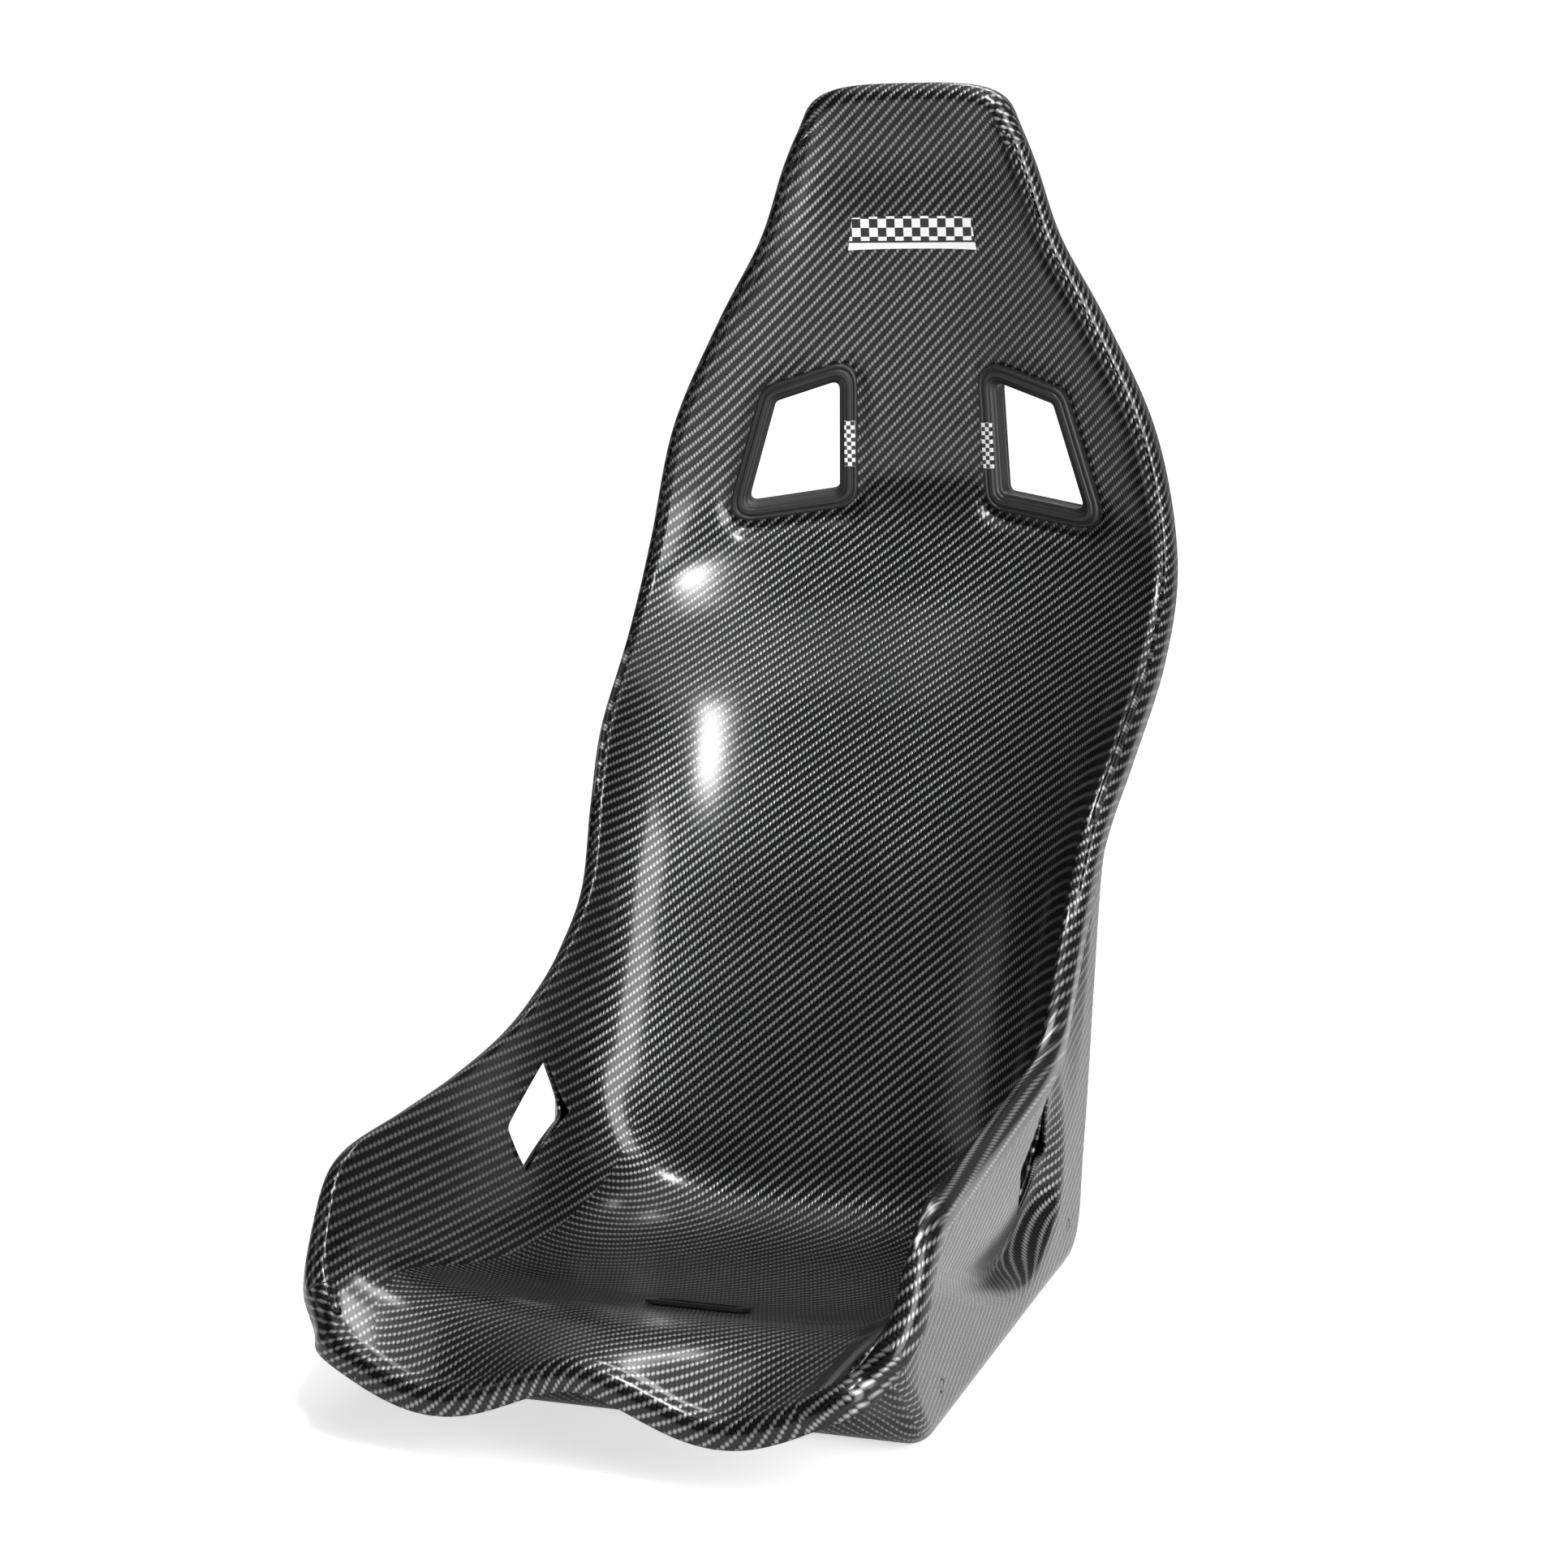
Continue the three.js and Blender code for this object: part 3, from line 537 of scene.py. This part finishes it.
def recess(point):
    """Lets the flat lands for the front rings into the tub, with a rounded step round them."""
    side = 1 if point.x > 0 else -1
    centre, across, up, front = HARNESS[side]
    gap = point - centre
    flat = Vector((gap.dot(across), gap.dot(up)))
    if flat.length > 110:
        return point
    distance = inside(flat, LAND_OUTLINE)
    if distance >= RECESS_RUN:
        return point
    height = gap.dot(front)
    share = 1 - smooth(distance / RECESS_RUN)
    return point + front * ((-LAND_DEPTH - height) * share)


# ------------------------------------------------------------------ cloth on the tub
def table_at(keys, values, key):
    """Straight-line reading of a table, run on past its ends."""
    index = 1
    while index < len(keys) - 1 and keys[index] < key:
        index += 1
    low, high = keys[index - 1], keys[index]
    return mix(values[index - 1], values[index], (key - low) / (high - low))


SPINE_STEP = 0.125
SPINE = [tub_point(0, SPINE_STEP * i) for i in range(int(LAST / SPINE_STEP) + 1)]
SPINE_LENGTH = [0.0]
for before, after in zip(SPINE, SPINE[1:]):
    SPINE_LENGTH.append(SPINE_LENGTH[-1] + (after - before).length)
BACK_FIRST = int(8 / SPINE_STEP)
BACK_HEIGHT = [point.z for point in SPINE[BACK_FIRST:]]
BACK_LENGTH = SPINE_LENGTH[BACK_FIRST:]
BACK_DEPTH = [point.y for point in SPINE[BACK_FIRST:]]


def spine_length(station):
    place = clamp(station / SPINE_STEP, 0, len(SPINE) - 1.001)
    start = int(place)
    return mix(SPINE_LENGTH[start], SPINE_LENGTH[start + 1], place - start)


def wall_cloth(point):
    """Where a point of the back or a side wall lies on its cloth, in mm: the cloth hangs
    straight down the back and is wrapped forwards round the sides."""
    height = table_at(BACK_HEIGHT, BACK_LENGTH, point.z)
    forward = table_at(BACK_HEIGHT, BACK_DEPTH, max(point.z, BACK_HEIGHT[0])) - point.y
    sign = clamp(point.x / 60, -1, 1)
    wale = point.x - height + 0.1 * sign * forward * smooth((forward - 20) / 60) * -1
    row = point.x + sign * 0.8 * forward + height
    return (row + wale) / 2, (row - wale) / 2


def pan_cloth(point, station):
    """Where a point of the pan lies on its cloth; it runs into the wall's cloth at the hips."""
    share = smooth((station - 6.0) / 1.8)
    wall = wall_cloth(point)
    return mix(point.x, wall[0], share), mix(spine_length(station), wall[1], share)


# ------------------------------------------------------------------ tub
COLUMNS, TUB_ROWS, CASE_ROWS = 150, 250, 230  # grids of the two shells' skins
FLOOR_SHARE = 0.56  # share of the columns that lies on the floor or back
CORNER_COLUMNS, CORNER_ROWS = 0.16, 0.034  # shares of the grid that the corners round off
PAN_CLOTH_END = 7.8  # station at which the pan's cloth gives way to that of the walls
RIM_PASSES = 6  # how often the rim's directions are evened out


def round_corner(place, row):
    """Rounds the corners of the grid off, so that the rolled rim runs round them."""
    near = 1 - abs(place)
    end = min(row, 1 - row)
    if near >= CORNER_COLUMNS or end >= CORNER_ROWS:
        return place, row
    u, v = 1 - near / CORNER_COLUMNS, 1 - end / CORNER_ROWS
    u, v = u * math.sqrt(1 - v * v / 2), v * math.sqrt(1 - u * u / 2)
    place = math.copysign(1 - (1 - u) * CORNER_COLUMNS, place)
    end = (1 - v) * CORNER_ROWS
    return place, (end if row < 0.5 else 1 - end)


def spread_columns(place, station):
    bend = bend_place(station)
    size = abs(place)
    if size <= FLOOR_SHARE:
        across = size / FLOOR_SHARE * bend
    else:
        across = bend + (size - FLOOR_SHARE) / (1 - FLOOR_SHARE) * (1 - bend)
    return math.copysign(across, place)


def edge_order(bm):
    """The vertices of the open edge in order: along the front from left to right, then up
    the right side."""
    start = min(
        (vert for vert in bm.verts if vert.is_boundary),
        key=lambda vert: (abs(vert.co.x) > 3) * 1000 + vert.co.z,
    )
    order = [start]
    while True:
        here = order[-1]
        ahead = [
            edge.other_vert(here) for edge in here.link_edges
            if edge.is_boundary and edge.other_vert(here) not in order[-2:]
        ]
        if len(order) == 1:
            ahead.sort(key=lambda vert: -vert.co.x)
        if not ahead or ahead[0] is start:
            return order
        order.append(ahead[0])


def rim_frames(order, station_at):
    """Skirt and outward directions of the rim at each vertex of the open edge."""
    frames = {}
    count = len(order)
    for i, vert in enumerate(order):
        tangent = (order[(i + 2) % count].co - order[i - 2].co).normalized()
        back = skirt_direction(vert[station_at])
        back = (back - tangent * back.dot(tangent)).normalized()
        frames[vert] = (back, -tangent.cross(back).normalized())
    for _ in range(RIM_PASSES):
        frames = {
            vert: tuple(
                (frames[order[i - 1]][k] + frames[vert][k] * 2 + frames[order[(i + 1) % count]][k])
                .normalized() for k in (0, 1)
            ) for i, vert in enumerate(order)
        }
    return frames


def rim_profile(steps_round=7, steps_down=3):
    profile = []
    for step in range(1, steps_round + 1):
        turn = math.pi / 2 * step / steps_round
        profile.append((RIM_WIDTH * math.sin(turn), RIM_ROLL * (1 - math.cos(turn)), 0.0))
    for step in range(1, steps_down + 1):
        share = step / steps_down
        profile.append((RIM_WIDTH, mix(RIM_ROLL, RIM_DEPTH, share), RIM_EXTRA * share))
    return profile


def cut_out(bm, outline, near, flat, axes):
    """Cuts a hole on a convex outline.  flat(co) gives a vertex's place in the outline's
    plane, near(co) says whether it is on the right wall, and axes are the plane's own two
    directions with a point on it."""
    across, up, origin = axes
    middle = sum((Vector(p) for p in outline), Vector((0, 0))) / len(outline)
    reach = max((Vector(p) - middle).length for p in outline) + 12

    def nearby():
        return [
            face for face in bm.faces
            if near(face.calc_center_median())
            and (flat(face.calc_center_median()) - middle).length < reach
        ]

    for i, end in enumerate(outline):
        start, finish = Vector(outline[i - 1]), Vector(end)
        run = finish - start
        if run.length < 0.05:
            continue
        faces = [
            face for face in nearby()
            if min((flat(vert.co) - (start + finish) / 2).length for vert in face.verts)
            < run.length / 2 + 7
        ]
        geometry = dict.fromkeys(faces)  # keeps its order, so that every run cuts alike
        for face in faces:
            geometry.update(dict.fromkeys([*face.edges, *face.verts]))
        bmesh.ops.bisect_plane(
            bm, geom=list(geometry), dist=1e-4, plane_co=origin + across * start.x + up * start.y,
            plane_no=(across * run.y - up * run.x).normalized(),
        )
    gone = [
        face for face in nearby() if inside(flat(face.calc_center_median()), outline) < -0.01
    ]
    bmesh.ops.delete(bm, geom=gone, context="FACES")


def cut_crotch_slot(bm, margin, below):
    """Drops the faces over the crotch slot: a little more than the slot, below a height."""
    half_length, half_width = CROTCH_LENGTH / 2 + margin, CROTCH_WIDTH / 2 + margin
    slot = rounded(
        [(-half_length, CROTCH_Y - half_width), (half_length, CROTCH_Y - half_width),
         (half_length, CROTCH_Y + half_width), (-half_length, CROTCH_Y + half_width)],
        CROTCH_RADIUS,
    )
    gone = []
    for face in bm.faces:
        centre = face.calc_center_median()
        if abs(centre.x) < CROTCH_LENGTH and centre.z < below and inside(centre.xy, slot) < 0:
            gone.append(face)
    bmesh.ops.delete(bm, geom=gone, context="FACES")


LAP_AXES = (Vector((0, 1, 0)), Vector((0, 0, 1)), Vector((0, 0, 0)))


def cut_lap_belt(bm, side):
    cut_out(
        bm, rounded(LAP_OUTLINE, LAP_RADIUS), lambda co: co.x * side > 140 and co.y > 150,
        lambda co: co.yz, LAP_AXES,
    )


def cut_harness(bm, side):
    centre, across, up, _ = HARNESS[side]
    cut_out(
        bm, CUT_OUTLINE, lambda co: (co - centre).length < 110,
        lambda co: Vector(((co - centre).dot(across), (co - centre).dot(up))),
        (across, up, centre),
    )


def lay_cloth(bm, cloth_of):
    """Writes the cloth's own coordinates, in metres, for every corner of every face."""
    cloth = bm.loops.layers.uv.new("cloth")
    for face in bm.faces:
        for loop in face.loops:
            across, up = cloth_of(face, loop.vert)
            loop[cloth].uv = (across * MM, up * MM)


def finish_shell(bm, name, material, stands_for):
    """Places a shell's outer skin in the frame and gives it the laminate's thickness."""
    for vert in bm.verts:
        vert.co = placed(vert.co)
    bm.normal_update()
    shell = piece_from(bm, name, material, stands_for)
    wall = shell.modifiers.new("laminate", "SOLIDIFY")
    wall.thickness = LAMINATE * MM
    wall.offset = -1
    wall.use_even_offset = False


def follow(result, owners):
    """What each vertex of an extrusion follows, from the vertices it was drawn out of."""
    following = {}
    for vert in (item for item in result if isinstance(item, bmesh.types.BMVert)):
        source = next(
            other for other in (link.other_vert(vert) for link in vert.link_edges)
            if other in owners
        )
        following[vert] = owners[source]
    return following


def build_tub():
    """The tub's skin, rolled rim and openings; returns its shape before the openings too."""
    bm = bmesh.new()
    bmesh.ops.create_grid(bm, x_segments=COLUMNS, y_segments=TUB_ROWS, size=0.5)
    layer = bm.verts.layers.float
    place_at, station_at = layer.new("across"), layer.new("station")
    rolled, around = layer.new("rolled"), layer.new("around")
    for vert in bm.verts:
        place, row = round_corner(2 * vert.co.x, vert.co.y + 0.5)
        station = clamp(LAST * row, 0, LAST)
        across = clamp(spread_columns(place, station), -1, 1)
        vert[place_at], vert[station_at] = across, station
        vert.co = recess(tub_point(across, station))
    edge = [item for item in bm.edges if item.is_boundary]
    order = edge_order(bm)
    frames = rim_frames(order, station_at)
    roots = {vert: vert.co.copy() for vert in order}
    travelled = 0.0
    last = (0.0, 0.0)
    owners = {vert: vert for vert in frames}
    for out, down, extra in rim_profile():
        travelled += math.hypot(out - last[0], down - last[1])
        last = (out, down)
        result = bmesh.ops.extrude_edge_only(bm, edges=edge)["geom"]
        owners = follow(result, owners)
        for vert, root in owners.items():
            back, outward = frames[root]
            depth = down + extra * waist(root[station_at])
            vert.co = roots[root] + outward * out + back * depth
            vert[around] = travelled
            vert[rolled] = 1.0
        edge = [
            item for item in result
            if isinstance(item, bmesh.types.BMEdge) and item.is_boundary
        ]
    tree = BVHTree.FromBMesh(bm)
    for side in (-1, 1):
        cut_lap_belt(bm, side)
        cut_harness(bm, side)
    cut_crotch_slot(bm, 3, 120)

    def cloth_of(face, vert):
        station = vert[station_at]
        count = len(face.verts)
        middle = sum(v[station_at] for v in face.verts) / count
        share = sum(abs(v[place_at]) for v in face.verts) / count
        on_rim = vert[rolled] > 0.5
        base = tub_point(vert[place_at], station) if on_rim else vert.co
        if middle < PAN_CLOTH_END and share < bend_place(middle):
            across, up = pan_cloth(base, station)
        else:
            across, up = wall_cloth(base)
        if on_rim:
            if abs(vert[place_at]) > 0.9999:
                across += math.copysign(vert[around], vert[place_at])
            elif station < 1:
                up -= vert[around]
            else:
                up += vert[around]
        return across, up

    lay_cloth(bm, cloth_of)
    finish_shell(bm, "tub_shell", TUB_CARBON, ["front_shell"])
    return tree


# ------------------------------------------------------------------ rear case
def case_point(station, share):
    """Right-hand side of the case: straight wall, rounded corner and flat back."""
    width = along(REAR_X, station)
    half = min(SIDE_FACE, width) if station < FLARE_START else width
    rim_y, rim_z = along(RIM_Y, station), along(RIM_Z, station)
    floor_y, floor_z = along(REAR_Y, station), max(0, along(REAR_Z, station))
    depth = math.hypot(floor_y - rim_y, floor_z - rim_z)
    radius = along(REAR_CORNER, station)
    drop = min(radius, 0.9 * depth)
    wall_end = 1 - drop / depth
    if share <= 1 / 3:
        top = min(half, along(RIM_X, station) + CASE_INSET)
        x = mix(top, half, smooth(share * 5))
        deep = wall_end * share * 3
    elif share <= 2 / 3:
        turn = math.pi / 2 * (share * 3 - 1)
        x = half - radius * (1 - math.cos(turn))
        deep = mix(wall_end, 1, math.sin(turn))
    else:
        x = (half - radius) * (3 - 3 * share)
        deep = 1
    return Vector((x, mix(rim_y, floor_y, deep), mix(rim_z, floor_z, deep)))


CASE_FIRST, CASE_LAST = 0.62, LAST - 0.2  # stations where the case begins and ends
LIP_END = 4  # station up to which the case passes under the tub
POCKET_TOP = 9.2  # station above which the side recess has run out
POCKET_PASSES = 6  # how often the pressed step is smoothed
POCKET_WALL = 190  # the recess is pressed into what lies further out than this
WALLS_BEYOND = 150  # everything further out than this belongs to the side walls
SIGHT_HEIGHT = 300  # height from which the tub is looked down upon
SIGHT_SHIFT = 8  # and how far to each side of a place
CLOTH_TURN = math.radians(-22)  # how the cloth of the side walls is laid
WALL_SHARE, CORNER_SHARE = 0.55, 0.72  # shares of the columns, from the edge inwards
LID_LOWER = BOTH_LAMINATES + 0.6  # the case passes under the tub at its two ends


def case_share(place):
    """Columns crowd on the side wall, where the recess is."""
    if place < WALL_SHARE:
        return place / WALL_SHARE / 3
    if place < CORNER_SHARE:
        return (1 + (place - WALL_SHARE) / (CORNER_SHARE - WALL_SHARE)) / 3
    return (2 + (place - CORNER_SHARE) / (1 - CORNER_SHARE)) / 3


def lid_point(station, across, lower):
    point = tub_point(across, station)
    nudge = 5 * math.copysign(smooth((abs(across) - 0.8) / 0.2), across)
    return point + skirt_direction(station) * lower + Vector((nudge, 0, 0))


def under_tub(tree, point):
    """Height just under the tub at a place; away from the side walls it is taken from the
    lowest of three places near it."""
    lowest = SIGHT_HEIGHT
    shifts = (-SIGHT_SHIFT, 0, SIGHT_SHIFT) if abs(point.x) < WALLS_BEYOND else (0,)
    for shift in shifts:
        start = Vector((point.x + shift, point.y, SIGHT_HEIGHT))
        hit, _, _, _ = tree.ray_cast(start, Vector((0, 0, -1)))
        if hit:
            lowest = min(lowest, hit.z)
    return lowest - LID_LOWER


def pocket_outline():
    """The recess outline, smoothed through its lower corners."""
    lower = [Vector(p) for p in POCKET_OUTLINE[:9]]
    points = []
    for i in range(len(lower) - 1):
        a = lower[i - 1] if i > 0 else 2 * lower[0] - lower[1]
        b, c = lower[i], lower[i + 1]
        d = lower[i + 2] if i + 2 < len(lower) else 2 * lower[-1] - lower[-2]
        for step in range(4):
            share = step / 4
            square, cube = share ** 2, share ** 3
            points.append(
                b * (2 * cube - 3 * square + 1) + (c - a) * ((cube - 2 * square + share) / 2)
                + c * (3 * square - 2 * cube) + (d - b) * ((cube - square) / 2)
            )
    return points + [Vector(p) for p in POCKET_OUTLINE[8:]]


def side_cloth(point):
    """Where a point of the case's side wall lies on its cloth, which is laid at an angle."""
    cosine, sine = math.cos(CLOTH_TURN), math.sin(CLOTH_TURN)
    return point.y * cosine + point.z * sine, point.z * cosine - point.y * sine


def build_case(tub_tree):
    """The case's skin, with the side recesses, the lands behind the openings and the holes."""
    bm = bmesh.new()
    bmesh.ops.create_grid(bm, x_segments=COLUMNS, y_segments=CASE_ROWS, size=0.5)
    layer = bm.verts.layers.float
    place_at, station_at = layer.new("across"), layer.new("station")
    pocket = pocket_outline()
    for vert in bm.verts:
        row = vert.co.y + 0.5
        place = 2 * vert.co.x
        side = -1 if place < 0 else 1
        share = case_share(1 - abs(place))
        if row > 1 - 0.5 / CASE_ROWS:
            station = CASE_LAST
            point = lid_point(station, side * (1 - share), LID_LOWER)
        else:
            share_row = max(0, row * CASE_ROWS - 1) / (CASE_ROWS - 2)
            crowded = 0.72 * share_row + 0.28 * share_row ** 2
            station = mix(CASE_FIRST + 0.1, CASE_LAST - 0.1, crowded)
            point = case_point(station, share)
            if share == 0:
                point += skirt_direction(station) * 1.5
            if point.x > POCKET_WALL and station < POCKET_TOP and share > 0.002:
                depth = inside(point.yz, pocket)
                if depth < 0:
                    hit, _, _, _ = tub_tree.ray_cast(
                        Vector((-20, point.y, point.z)), Vector((1, 0, 0)),
                    )
                    floor = hit.x + BOTH_LAMINATES if hit else 0
                    floor = clamp(floor, SIDE_FACE - POCKET_DEEPEST, point.x - 0.5)
                    point.x = mix(point.x, floor, smooth(-depth / POCKET_STEP))
            point.x *= side
            point.y = min(point.y, BACK_LIMIT)
        if station < LIP_END:
            point.z = min(point.z, under_tub(tub_tree, point))
        vert[place_at], vert[station_at] = place, station
        vert.co = point
    stepped = [
        vert for vert in bm.verts
        if abs(vert.co.x) > WALLS_BEYOND and vert[station_at] < POCKET_TOP and not vert.is_boundary
        and abs(inside(vert.co.yz, pocket) + POCKET_STEP / 2) < POCKET_STEP
    ]
    for _ in range(POCKET_PASSES):
        bmesh.ops.smooth_vert(
            bm, verts=stepped, factor=0.5, use_axis_x=True, use_axis_y=False, use_axis_z=False,
        )
    bmesh.ops.reverse_faces(bm, faces=bm.faces)
    for side in (-1, 1):
        cut_lap_belt(bm, side)
        centre, across, up, front = HARNESS[side]
        for vert in bm.verts:
            gap = vert.co - centre
            if gap.length < 140 and vert.co.y > 600:
                flat = Vector((gap.dot(across), gap.dot(up)))
                distance = inside(flat, LAND_OUTLINE)
                if distance < REAR_RUN:
                    share = 1 - smooth(distance / REAR_RUN)
                    vert.co += front * ((-REAR_LAND - gap.dot(front)) * share)
        cut_harness(bm, side)
    cut_crotch_slot(bm, 5, 4)

    def cloth_of(face, vert):
        share = sum(abs(v[place_at]) for v in face.verts) / len(face.verts)
        middle = sum(v[station_at] for v in face.verts) / len(face.verts)
        if share > 1 - (WALL_SHARE + CORNER_SHARE) / 2 and middle > 0.7:
            return side_cloth(vert.co)
        return vert.co.x, spine_length(vert[station_at])

    lay_cloth(bm, cloth_of)
    finish_shell(bm, "case_shell", CASE_CARBON, ["rear_shell"])


# ------------------------------------------------------------------ bezels
def ring_profile():
    """Section of the front ring from the sleeve's foot over its face to the land, as
    (distance outside the opening, height above the plane of the opening)."""
    top = BEZEL_PROUD
    return [
        (0.0, 0.6 - REAR_LAND), (0.0, -1.0), (0.3, 0.2), (1.4, 1.0), (2.4, 1.4), (3.0, 2.0),
        (3.3, 2.9), (4.2, 3.3), (5.2, 3.4), (5.6, 3.9), (5.8, top - 0.5), (6.3, top - 0.1),
        (7.2, top), (9.2, top), (9.7, top - 0.2), (10.0, top - 0.9), (10.6, top - 1.4),
        (11.3, top - 1.4), (11.8, top - 0.9), (12.1, top - 0.25), (12.6, top - 0.1),
        (13.6, top - 0.3), (14.4, top - 0.9), (14.85, top - 1.9), (15.0, top - 3.2),
        (15.0, -LAND_DEPTH + 0.4),
    ]


def swept_ring(profile, side):
    """A ring: the section carried round the opening on rounded outlines, made by extruding
    its first loop step by step and closed behind."""
    bm = bmesh.new()

    def loop_places(out, height):
        radius = mix(HARNESS_RADIUS, BEZEL_CORNER, clamp(out / BEZEL_LAND))
        outline = rounded(grown(HARNESS_OUTLINE, out), radius, 7)
        return [harness_place(side, p[0], p[1], height) for p in outline]

    first = loop_places(*profile[0])
    verts = [bm.verts.new(place) for place in first]
    edges = [bm.edges.new((verts[i - 1], verts[i])) for i in range(len(verts))]
    start_edges = list(edges)
    owners = {vert: i for i, vert in enumerate(verts)}
    for out, height in profile[1:]:
        places = loop_places(out, height)
        result = bmesh.ops.extrude_edge_only(bm, edges=edges)["geom"]
        owners = follow(result, owners)
        for vert, index in owners.items():
            vert.co = places[index]
        edges = [
            item for item in result
            if isinstance(item, bmesh.types.BMEdge) and all(v in owners for v in item.verts)
        ]
    bmesh.ops.bridge_loops(bm, edges=start_edges + edges)
    bmesh.ops.recalc_face_normals(bm, faces=bm.faces)
    return bm


def finish_ring(bm, half, label):
    for vert in bm.verts:
        vert.co = placed(vert.co)
    stands_for = [f"harness_bezel_{half}_{label}"]
    piece_from(bm, f"bezel_{half}_{label}", PLASTIC, stands_for)


def build_bezels(side, label):
    finish_ring(swept_ring(ring_profile(), side), "front", label)
    top = -REAR_LAND - 0.4
    rear = swept_ring(
        [(0.0, top), (0.0, top - 3.6), (0.8, top - 4.6), (2.0, top - 5.0), (13.0, top - 5.0),
         (14.4, top - 4.4), (15.0, top - 3.2), (15.0, top)],
        side,
    )
    finish_ring(rear, "rear", label)


# ------------------------------------------------------------------ assemble
build_case(build_tub())
for side, label in ((-1, "left"), (1, "right")):
    build_bezels(side, label)

for name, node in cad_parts.items():
    finish = None
    if name.startswith("bezel_screw"):
        finish = BLACK
    elif name.startswith(("thread_insert", "anchor_plate")):
        finish = ZINC
    elif name.startswith("badge_plate"):
        finish = BADGE_PRINT
    elif name == "head_strip":
        finish = STRIP_PRINT
    elif name == "crotch_slot_trim":
        finish = PLASTIC
    if finish:
        for item in node.material_slots:
            item.material = finish


# ------------------------------------------------------------------ studio
def stage_floor():
    """A plain pale floor that whitens with distance, so that it meets the white behind it;
    it glows less to the seat's lacquer than to the camera."""
    bm = bmesh.new()
    bmesh.ops.create_grid(bm, x_segments=1, y_segments=1, size=30)
    mesh = bpy.data.meshes.new("studio_floor")
    bm.to_mesh(mesh)
    bm.free()
    floor = bpy.data.objects.new("studio_floor", mesh)
    bpy.context.scene.collection.objects.link(floor)
    finish = Finish("studio_floor")
    across, ahead, _ = finish.parts(finish.place())
    far = (across * across + ahead * ahead).eased(0.2, 9.0)
    pale, glow = (0.8, 0.8, 0.8, 1), far.tint((0.66, 0.66, 0.66), (1.0, 1.0, 1.0))
    mesh.materials.append(finish.done(finish.add("ShaderNodeMixShader", {}, {
        0: finish.add("ShaderNodeLightPath", {}, {}, output="Is Camera Ray"),
        1: finish.surface(
            Base_Color=pale, Roughness=0.9, Emission_Color=glow, Emission_Strength=0.28,
        ),
        2: finish.surface(
            Base_Color=pale, Roughness=0.9, Emission_Color=glow, Emission_Strength=1.0,
        ),
    })))


def soft_light(name, place, target, width, height, power):
    data = bpy.data.lights.new(name, "AREA")
    data.shape = "RECTANGLE"
    data.size, data.size_y = width, height
    data.energy = power
    light = bpy.data.objects.new(name, data)
    light.location = place
    light.rotation_euler = (Vector(target) - Vector(place)).to_track_quat("-Z", "Y").to_euler()
    bpy.context.scene.collection.objects.link(light)


def studio_world():
    """White behind the seat for the camera; a dim room, brighter behind, for its gloss."""
    world = bpy.data.worlds.new("studio")
    world.use_nodes = True
    tree = world.node_tree
    tree.nodes.clear()

    def node(kind, **values):
        made = tree.nodes.new(kind)
        for name, value in values.items():
            made.inputs[name.replace("_", " ")].default_value = value
        return made

    paths = tree.nodes.new("ShaderNodeLightPath")
    white = node("ShaderNodeBackground", Color=(1, 1, 1, 1), Strength=1.02)
    room = node("ShaderNodeBackground", Color=(1, 1, 1, 1))
    place = tree.nodes.new("ShaderNodeTexCoord")
    parts = tree.nodes.new("ShaderNodeSeparateXYZ")
    level = node("ShaderNodeMapRange", From_Min=-0.2, From_Max=1.0, To_Min=0.05, To_Max=0.3)
    level.interpolation_type = "SMOOTHSTEP"
    either = tree.nodes.new("ShaderNodeMixShader")
    output = tree.nodes.new("ShaderNodeOutputWorld")
    tree.links.new(place.outputs["Generated"], parts.inputs[0])
    tree.links.new(parts.outputs["Y"], level.inputs["Value"])
    tree.links.new(level.outputs[0], room.inputs["Strength"])
    tree.links.new(paths.outputs["Is Camera Ray"], either.inputs[0])
    tree.links.new(room.outputs[0], either.inputs[1])
    tree.links.new(white.outputs[0], either.inputs[2])
    tree.links.new(either.outputs[0], output.inputs[0])
    bpy.context.scene.world = world


CAMERA_PLACE = (0.7542, -2.1848, 0.8043)
CAMERA_TILT, CAMERA_ROLL, CAMERA_PAN = 79.492, 0.7, 18.728  # degrees
CAMERA_LENS, CAMERA_SENSOR = 73.94, 36


def front_camera():
    """Camera in front of the seat, a little to its right and above the pan."""
    data = bpy.data.cameras.new("camera")
    data.lens, data.sensor_width = CAMERA_LENS, CAMERA_SENSOR
    camera = bpy.data.objects.new("camera", data)
    camera.location = CAMERA_PLACE
    camera.rotation_euler = [math.radians(a) for a in (CAMERA_TILT, CAMERA_ROLL, CAMERA_PAN)]
    bpy.context.scene.collection.objects.link(camera)
    bpy.context.scene.camera = camera


stage_floor()
studio_world()
front_camera()
soft_light("strip_right", (2.6, -1.5, 1.3), (0, 0, 0.5), 1.3, 3.2, 115)
soft_light("soft_left", (-2.6, -1.9, 1.5), (0, 0, 0.5), 0.9, 1.8, 5)
soft_light("top_small", (0.5, -1.0, 2.7), (0, 0.0, 0.3), 0.36, 0.36, 32)
soft_light("overhead", (0.2, 0.3, 3.6), (0.2, 0.3, 0), 3.0, 3.0, 26)
soft_light("top_back", (0.3, 1.6, 2.6), (0, 0.1, 0.6), 1.6, 0.5, 30)
bpy.context.scene.view_settings.view_transform = "Standard"
